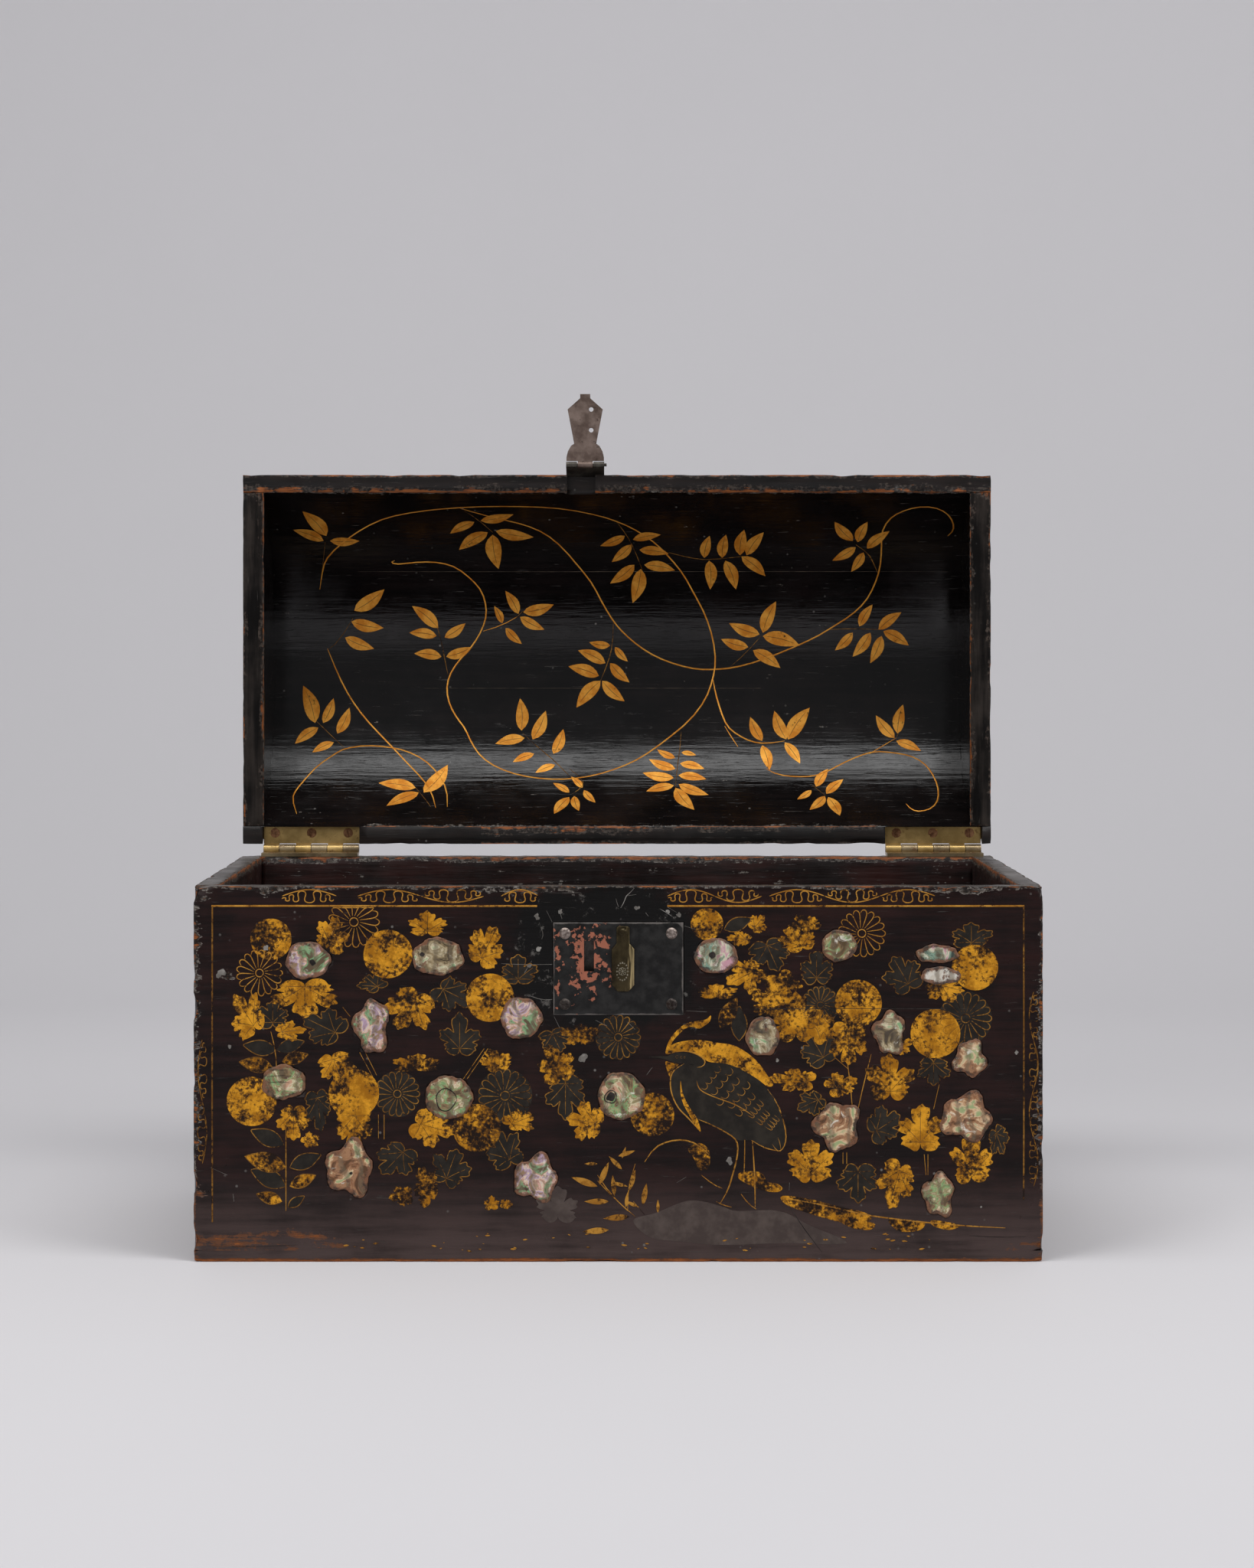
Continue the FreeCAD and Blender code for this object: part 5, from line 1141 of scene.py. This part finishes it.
PLATE_ROUND, PLATE_STEP, PLATE_CHIP = 0.3 * MM, 3 * MM, 0.25 * MM
low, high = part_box("lock_plate")
shape = merged_copy("lock_plate")
plate_edges = [e for e in box_edges(shape, low, high) if max(v.co.y for v in e.verts) < low.y + TOUCH]
plate_lines = lines_of(plate_edges)
round_off(shape, plate_edges, PLATE_ROUND)
cut_in_steps(shape, low, high, PLATE_STEP)
chip_edges(shape, plate_lines, depth=PLATE_CHIP)
plate = finish_piece(shape, "painted_lock_plate", [black_paint], "carcass")
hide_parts("lock_plate")
dress(screw_steel, "lock_plate_screws", "lock_back_nails")
dress(cover_brass, "keyhole_cover_rivet")
dress(bare_iron, "lock_back_plate", "key_pin", "bolt_guides", "bolt_spring", "lock_bolt")

ROSETTE_WIDE, ROSETTE_TALL, ROSETTE_DOTS = 2.9, 4.6, 16
ROSETTE_DOT, ROSETTE_FLOWER, ROSETTE_PETALS, ROSETTE_LINE = 0.45, 2.1, 8, 0.3
ROSETTE_PROUD = 0.05
COVER_ROUND = 0.6 * MM
low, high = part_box("keyhole_cover")
shape = merged_copy("keyhole_cover")


def is_cover_rim(edge):
    in_front = all(abs(v.co.y - low.y) < TOUCH for v in edge.verts)
    return in_front and edge.calc_face_angle() > math.radians(60) and edge.calc_length() > 0.2 * MM


round_off(shape, [e for e in shape.edges if is_cover_rim(e)], COVER_ROUND, segments=3)
cover = finish_piece(shape, "rounded_keyhole_cover", [cover_brass], "keyhole_cover", smooth_below=50)
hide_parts("keyhole_cover")
rosette_x, rosette_up = 2.2, 154.0
picture = bmesh.new()
for k in range(ROSETTE_DOTS):
    angle = 2 * math.pi * k / ROSETTE_DOTS
    dot_x, dot_up = rosette_x + ROSETTE_WIDE * math.cos(angle), rosette_up + ROSETTE_TALL * math.sin(angle)
    fill_outline(picture, round_outline(dot_x, dot_up, ROSETTE_DOT, points=10), ROSETTE_PROUD)
draw_strokes(picture, flower_strokes(rosette_x, rosette_up, ROSETTE_FLOWER, ROSETTE_PETALS), ROSETTE_LINE)


def on_cover(x, up, proud):
    return Vector((x * MM, low.y - proud * MM, up * MM))


lay_picture(picture, "keyhole_cover_rosette", rosette_brass, on_cover, "keyhole_cover")


# Hinges: two bought brass butts, the carcass leaves screwed on the back rim and the lid leaves let
# into the lid's rail, each held by three slotted screws.
hinge_brass = metal("hinge_brass", (0.40, 0.265, 0.096), (0.62, 0.430, 0.172), (0.24, 0.140, 0.060),
                    rough=0.3, scale=60)
dull_brass = metal("dull_brass", (0.26, 0.190, 0.105), (0.40, 0.310, 0.185), (0.18, 0.105, 0.055),
                   rough=0.3, scale=60)
hinge_screw = metal("hinge_screw", (0.17, 0.075, 0.036), (0.40, 0.205, 0.105), (0.09, 0.036, 0.018),
                    rough=0.3, scale=400)
for side in ("left", "right"):
    dress(hinge_brass, side + "_hinge_lid_leaf")
    dress(dull_brass, side + "_hinge_carcass_leaf", side + "_hinge_pin")
dress(hinge_screw, "hinge_carcass_screws", "hinge_lid_screws")


# Lid: seven staves, coopered to a half round over two end boards, pegged and lacquered black. The rail
# where it meets the carcass has lost much of its lacquer, and a few joints have opened as hairlines.
DOME_Y, DOME_Z = LID_AXIS_Y * MM, LID_AXIS_Z * MM
DOME_OUTSIDE, DOME_INSIDE = LID_ROUND * MM, 110.14 * MM
RAIL_PLANE, LID_END = LID_RIM_Y * MM, END_FACE * MM
STAVE_CHIP = 1.1 * MM
RAIL_TOUCH, OUTER_TOUCH, ROUND_TOUCH = 0.02 * MM, 0.3 * MM, 0.35 * MM
ARC_REACH, ARC_STEP = 100, 2.5
PAST_HINGE = 60 * MM
HINGED_STAVE = "lid_stave_1"
HINGE_FREE = -150 * MM, 157 * MM
RAIL_GREY = (0.070, 0.052, 0.042)
lid_lacquer = lacquer("lid_lacquer", (0.0060, 0.0050, 0.0046), (0.0150, 0.0100, 0.0085), LONG_GRAIN,
                      sheen=0.3, wear=0.07, broken_edge=RAIL_GREY, repaired=True)
lid_end_lacquer = lacquer("lid_end_lacquer", (0.0050, 0.0043, 0.0040), (0.036, 0.029, 0.025), (160, 160, 12),
                          sheen=0.10, wear=0.17, edge_wear=0.58, broken_edge=RAIL_GREY)
lid_black = lacquer("lid_black", (0.0036, 0.0030, 0.0030), (0.0085, 0.0062, 0.0060), LONG_GRAIN, gloss=0.09,
                    sheen=0.36, wear=0.14)


def from_dome_axis(point):
    return Vector((0, point.y - DOME_Y, point.z - DOME_Z))


def clear_of_hinges(start, end):
    """A long edge cut short where the hinges are let in; a short one stays as it is."""
    if abs(start[0] - end[0]) < PAST_HINGE:
        return start, end
    return tuple(np.array((np.clip(spot[0], *HINGE_FREE), *spot[1:])) for spot in (start, end))


def worn_stave(node):
    """A stave with its curve made fine and true, its rail and end edges chipped."""
    low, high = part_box(node)
    shape = merged_copy(node)

    def is_worn(edge):
        on_rail = all(abs(v.co.y - RAIL_PLANE) < RAIL_TOUCH for v in edge.verts)
        outer = all(from_dome_axis(v.co).length > DOME_OUTSIDE - OUTER_TOUCH for v in edge.verts)
        at_end = all(abs(abs(v.co.x) - LID_END) < RAIL_TOUCH for v in edge.verts)
        along = abs(edge.verts[0].co.x - edge.verts[1].co.x) > PAST_HINGE
        sharp = len(edge.link_faces) == 2 and edge.calc_face_angle() > math.radians(30)
        return sharp and ((on_rail and along) or (at_end and outer and not along))
    edges = [e for e in shape.edges if is_worn(e)]
    lines = lines_of(edges)
    if node == HINGED_STAVE:
        lines = [clear_of_hinges(start, end) for start, end in lines]
    cut_in_steps(shape, low, Vector((high.x, low.y, low.z)), CUT_STEP)
    for k in range(int(ARC_REACH / ARC_STEP) * 2 + 1):
        angle = math.radians(-ARC_REACH + ARC_STEP * k)
        cut_across(shape, (0, DOME_Y, DOME_Z), (0, -math.sin(angle), math.cos(angle)))
    for vert in shape.verts:
        arm = from_dome_axis(vert.co)
        for radius in (DOME_INSIDE, DOME_OUTSIDE):
            if abs(arm.length - radius) < ROUND_TOUCH:
                vert.co += arm.normalized() * (radius - arm.length)
    chip_edges(shape, lines, depth=STAVE_CHIP)
    for face in shape.faces:
        outward = from_dome_axis(face.calc_center_median()).normalized()
        face.material_index = int(face.normal.dot(outward) < -0.6)
    piece = finish_piece(shape, "worn_" + node, [lid_lacquer, lid_black], "lid")
    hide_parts(node)


for number in range(1, 8):
    worn_stave(f"lid_stave_{number}")
worn_board("lid_left_end", "lid", lid_end_lacquer, lid_black, Vector((1, 0, 0)), CUT_STEP)
worn_board("lid_right_end", "lid", lid_end_lacquer, lid_black, Vector((-1, 0, 0)), CUT_STEP)


# Vines: brushed in gold and orange over the black of the vault, with leaves in sprays. Places are in
# millimetres along the lid, and round its inside from the crown, towards the front edge.
VINES = [
    [(-184, 44), (-182, 57), (-179, 66), (-169, 77), (-158, 87), (-143, 98), (-125, 104), (-104, 108),
     (-82, 110), (-55, 110), (-33, 108), (-11, 101), (1, 95), (13, 87), (24, 77), (32, 67), (41, 55),
     (48, 41), (55, 28), (60, 13), (62, -2), (60, -13), (56, -25), (46, -39), (31, -52), (15, -65),
     (2, -72), (-13, -78), (-29, -81), (-44, -81), (-60, -78), (-74, -72), (-84, -64), (-90, -54),
     (-94, -44), (-99, -38), (-104, -29), (-106, -19), (-104, -10), (-98, -1), (-91, 6), (-85, 15),
     (-81, 25), (-81, 34), (-84, 44), (-91, 52), (-100, 60), (-111, 63), (-123, 63), (-136, 61),
     (-140, 63), (-137, 64)],
    [(-95, 108), (-85, 103), (-73, 98), (-60, 94), (-46, 87), (-35, 76), (-23, 59), (-15, 48), (-9, 35),
     (-2, 23), (4, 16), (13, 8), (24, 1), (37, -4), (50, -7), (61, -7), (73, -6), (88, -2), (106, 5),
     (124, 13), (135, 20), (146, 27), (155, 36), (160, 47), (163, 59), (163, 74), (162, 86), (166, 98),
     (173, 105), (183, 110), (194, 109), (202, 102), (206, 93), (206, 86), (203, 83)],
    [(-83, 17), (-71, 20), (-62, 26)],
    [(-180, 6), (-175, -7), (-167, -23), (-157, -37), (-147, -48), (-137, -59), (-127, -71), (-118, -82),
     (-112, -94), (-110, -106)],
    [(-194, -112), (-198, -99), (-197, -91), (-192, -82), (-185, -71), (-174, -62), (-168, -58),
     (-155, -56), (-141, -57), (-129, -60), (-117, -67), (-108, -79), (-103, -92), (-103, -105)],
    [(60, -13), (61, -20), (64, -31), (68, -43), (75, -49), (84, -54), (94, -55), (104, -53)],
    [(67, -43), (72, -52), (75, -57)],
    [(92, -73), (97, -77), (108, -79), (119, -79), (128, -76), (137, -70), (148, -64), (159, -60),
     (170, -61), (181, -63), (189, -68), (194, -76), (197, -87), (196, -99), (191, -107), (183, -110),
     (178, -107), (176, -102)], [(156, -62), (165, -56), (173, -51)]]
SPRAY_STEMS = [
    [(-182, 57), (-179, 78)], [(-95, 108), (-85, 98), (-76, 86)], [(-164, 25), (-173, 9), (-180, 5)],
    [(-112, 21), (-109, 11), (-107, -1), (-105, -10)], [(-62, 26), (-58, 30)],
    [(-186, -40), (-179, -47), (-168, -58)], [(-123, -88), (-118, -95), (-113, -105)],
    [(-58, -48), (-47, -59), (-37, -68), (-27, -81)], [(-28, -94), (-21, -88), (-20, -81), (-29, -73)],
    [(-2, 23), (-2, 9), (-6, -5), (-10, -14)], [(0, 95), (6, 84), (11, 72), (16, 57)],
    [(32, 70), (44, 66), (58, 64), (77, 67)], [(147, 76), (155, 70), (159, 61), (162, 54)],
    [(70, -6), (81, 3), (90, 14)], [(133, 18), (146, 19), (163, 18)], [(173, -51), (175, -47)],
    [(40, -47), (39, -60), (37, -73), (36, -87)], [(120, -86), (127, -94)]]
SPRAY_LEAVES = [
    (-178, 83, -191, 105), (-180, 79, -198, 88), (-176, 79, -158, 79), (-87, 95, -102, 85),
    (-79, 86, -97, 72), (-76, 84, -73, 58), (-74, 87, -51, 82), (-83, 96, -63, 102), (-163, 30, -144, 44),
    (-165, 23, -145, 19), (-169, 13, -151, 6), (-111, 19, -127, 33), (-112, 14, -129, 16),
    (-109, 1, -126, 3), (-107, 13, -94, 22), (-106, 1, -90, 7), (-61, 28, -69, 43), (-58, 29, -39, 34),
    (-60, 26, -45, 18), (-69, 19, -59, 9), (-71, 22, -76, 33), (-187, -41, -195, -17),
    (-182, -41, -176, -25), (-173, -48, -166, -31), (-185, -44, -199, -55), (-175, -54, -188, -61),
    (-123, -88, -146, -84), (-121, -92, -140, -104), (-118, -92, -104, -70), (-59, -46, -60, -25),
    (-52, -52, -44, -33), (-39, -62, -33, -45), (-57, -51, -75, -55), (-51, -62, -64, -68),
    (-38, -70, -50, -76), (-29, -92, -39, -84), (-29, -96, -38, -112), (-26, -95, -23, -109),
    (-20, -90, -13, -101), (-21, -88, -28, -79), (-4, 8, -17, 10), (-7, -3, -24, 5), (-11, -11, -30, -5),
    (-10, -14, -25, -31), (-9, -14, 5, -27), (-4, -3, 8, -15), (-1, 7, 7, -2), (5, 83, -10, 75),
    (9, 76, -3, 63), (11, 61, -4, 48), (15, 58, 10, 35), (17, 61, 36, 57), (14, 72, 32, 69),
    (10, 80, 27, 84), (54, 66, 57, 83), (65, 66, 67, 84), (76, 68, 78, 88), (80, 68, 90, 86),
    (57, 64, 58, 44), (67, 64, 74, 44), (77, 67, 92, 53), (145, 79, 133, 95), (148, 78, 153, 95),
    (154, 73, 167, 87), (147, 74, 133, 64), (152, 70, 145, 56), (89, 15, 70, 22), (91, 16, 99, 36),
    (82, 7, 65, 12), (91, 14, 114, 8), (85, 5, 102, -6), (151, 20, 159, 34), (147, 16, 136, 5),
    (158, 16, 147, 1), (163, 18, 177, 29), (166, 17, 182, 8), (165, 14, 158, -3), (90, -53, 83, -37),
    (105, -52, 98, -33), (106, -52, 120, -31), (104, -54, 113, -69), (90, -56, 94, -74),
    (172, -51, 161, -36), (174, -48, 178, -29), (173, -53, 188, -60), (36, -65, 25, -59),
    (36, -73, 20, -66), (35, -80, 16, -76), (35, -86, 18, -91), (36, -88, 47, -108), (38, -85, 56, -94),
    (38, -78, 55, -81), (39, -69, 54, -73), (40, -61, 49, -63), (122, -87, 130, -73),
    (128, -93, 139, -81), (129, -96, 135, -114), (127, -95, 117, -108), (119, -90, 110, -98)]
LEAF_FULLNESS, LEAF_BOW, LEAF_SKEW, LEAF_CURVE = 0.38, 0.24, 0.8, 0.9
VINE_WIDTH, STEM_WIDTH, HAIRLINE = 0.85, 0.6, 0.3
VAULT_PROUD = 0.06
vine_gold = gold_finish("vine_gold", (0.86, 0.400, 0.062), (0.62, 0.218, 0.022), kept=1.30)


def on_vault(x, around, proud):
    """A place inside the lid, from its length and the way round from the crown."""
    angle = around * MM / DOME_INSIDE
    arm = DOME_INSIDE - proud * MM
    return Vector((x * MM, DOME_Y + arm * math.cos(angle), DOME_Z + arm * math.sin(angle)))


def leaf_spot(leaf, share, aside):
    """A place on a bowed leaf: how far along to its tip, and how far to one side of its midrib."""
    foot, tip = Vector(leaf[:2]), Vector(leaf[2:])
    across = Vector((foot.y - tip.y, tip.x - foot.x)) * LEAF_FULLNESS / 2
    bow = LEAF_BOW if foot.x * 7 + tip.y * 3 > 0 else -LEAF_BOW
    swell = math.sin(math.pi * share ** LEAF_SKEW) ** LEAF_CURVE
    return foot.lerp(tip, share) + across * (aside * swell + bow * math.sin(math.pi * share))


def vault_leaf(shape, leaf):
    """A pointed leaf, fine enough to follow the vault."""
    made = bmesh.ops.create_grid(shape, x_segments=8, y_segments=2, size=1)
    for vert in made["verts"]:
        vert.co = (*leaf_spot(leaf, (vert.co.x + 1) / 2, vert.co.y), 0)
    thicken(shape, made["verts"], VAULT_PROUD)


picture = bmesh.new()
for leaf in SPRAY_LEAVES:
    vault_leaf(picture, leaf)
bmesh.ops.remove_doubles(picture, verts=picture.verts, dist=0.001)
lay_picture(picture, "lid_vine_leaves", vine_gold, on_vault, "lid")

MIDRIB_SHARES = [0.05 + 0.2 * k for k in range(5)]
midribs = [[tuple(leaf_spot(leaf, share, 0)) for share in MIDRIB_SHARES] for leaf in SPRAY_LEAVES]
joint_dust = dark_relief_finish("joint_dust", (0.040, 0.030, 0.023), (0.17, 0.130, 0.095))
OPEN_JOINTS = [
    [(-160, 56.1), (-60, 56.0), (60, 56.2), (205, 56.1)], [(-120, -18.7), (-20, -18.6), (90, -18.7)],
    [(-8, 93.5), (12, 93.5)]]
vault_lines = [
    ("lid_vine_stems", VINES, VINE_WIDTH, vine_gold, VAULT_PROUD * 0.5),
    ("lid_spray_stems", SPRAY_STEMS, STEM_WIDTH, gold_faint, VAULT_PROUD * 0.3),
    ("lid_vine_midribs", midribs, HAIRLINE, crack_brown, VAULT_PROUD),
    ("lid_open_joints", OPEN_JOINTS, HAIRLINE, joint_dust, 0)]
for name, strokes, width, finish, lift in vault_lines:
    picture = bmesh.new()
    draw_strokes(picture, strokes, width)
    raise_up(picture, picture.verts, lift)
    lay_picture(picture, name, finish, on_vault, "lid")


# Hasp: forged iron, browned with age, hinged by a pin to a strap that is nailed over the lid's front
# edge; two holes are left from its lost staple.
hasp_iron = metal("hasp_iron", (0.14, 0.098, 0.080), (0.27, 0.205, 0.175), (0.045, 0.028, 0.022),
                  rough=0.46, scale=120)
strap_iron = metal("strap_iron", (0.045, 0.040, 0.034), (0.15, 0.135, 0.115), (0.030, 0.020, 0.014),
                   rough=0.42, scale=160)
dress(hasp_iron, "hasp")
dress(strap_iron, "hasp_strap", "hasp_strap_nails", "hasp_pin")


# Stage: a pale paper sweep, floor and backdrop in one, under a long softbox overhead, a softer
# light from the left and a broad fill from the right.
def stage_finish(name, colour, mottled):
    material, tree, shader, place = start_finish(name)
    tree.links.new(tint(tree, cloud(tree, place, 3, 2), colour, mottled), shader.inputs["Base Color"])
    shader.inputs["Roughness"].default_value = 0.9
    shader.inputs["Specular IOR Level"].default_value = 0.1
    return material


SWEEP_HALF_WIDTH, SWEEP_FRONT, SWEEP_BACK, SWEEP_TOP, SWEEP_BEND = 4.0, -3.0, 1.9, 3.2, 0.9
shape = bmesh.new()
corner = bmesh.ops.create_grid(shape, x_segments=1, y_segments=1, size=1)
for vert in corner["verts"]:
    vert.co = (vert.co.x * SWEEP_HALF_WIDTH, SWEEP_BACK if vert.co.y > 0 else SWEEP_FRONT, 0)
back_edge = [e for e in shape.edges if all(v.co.y > 0 for v in e.verts)]
wall = bmesh.ops.extrude_edge_only(shape, edges=back_edge)
raise_up(shape, new_verts(wall), SWEEP_TOP)
round_off(shape, back_edge, SWEEP_BEND, segments=24)
bmesh.ops.recalc_face_normals(shape, faces=shape.faces)
mesh = bpy.data.meshes.new("sweep")
shape.to_mesh(mesh)
shape.free()
mesh.shade_smooth()
mesh.materials.append(stage_finish("sweep_paper", (0.78, 0.765, 0.785), (0.80, 0.785, 0.805)))
sweep = bpy.data.objects.new("sweep", mesh)
bpy.context.scene.collection.objects.link(sweep)


def softbox(name, place, aim, wide, deep, power):
    light = bpy.data.lights.new(name, "AREA")
    light.shape = "RECTANGLE"
    light.size = wide
    light.size_y = deep
    light.energy = power
    lamp = bpy.data.objects.new(name, light)
    lamp.location = place
    lamp.rotation_mode = "QUATERNION"
    lamp.rotation_quaternion = (Vector(aim) - Vector(place)).to_track_quat("-Z", "Y")
    bpy.context.scene.collection.objects.link(lamp)


softbox("overhead_softbox", (-0.05, -0.38, 1.75), (0.0, 0.0, 0.2), wide=1.7, deep=0.5, power=12.5)
softbox("left_softbox", (-1.7, -1.7, 1.4), (0.0, 0.0, 0.2), wide=1.2, deep=1.2, power=17.5)
softbox("right_fill", (2.2, -1.3, 1.7), (0.3, 0.6, 0.3), wide=1.6, deep=1.6, power=24.0)

STUDIO_WHITE, STUDIO_STRENGTH = (0.96, 0.97, 1.0, 1), 0.27
world = bpy.data.worlds.new("studio")
world.use_nodes = True
world.node_tree.nodes["Background"].inputs["Color"].default_value = STUDIO_WHITE
world.node_tree.nodes["Background"].inputs["Strength"].default_value = STUDIO_STRENGTH
bpy.context.scene.world = world
bpy.context.scene.view_settings.view_transform = "Standard"

CAMERA_PLACE = (-0.006, -1.751, 0.3358)
LENS, SENSOR_WIDTH = 71.1, 36
VIEW_SHIFT = (0.0128, -0.0996)
camera_data = bpy.data.cameras.new("camera")
camera_data.sensor_width = SENSOR_WIDTH
camera_data.lens = LENS
camera_data.shift_x, camera_data.shift_y = VIEW_SHIFT
camera = bpy.data.objects.new("camera", camera_data)
camera.location = CAMERA_PLACE
camera.rotation_euler = (math.radians(90), 0, 0)
bpy.context.scene.collection.objects.link(camera)
bpy.context.scene.camera = camera
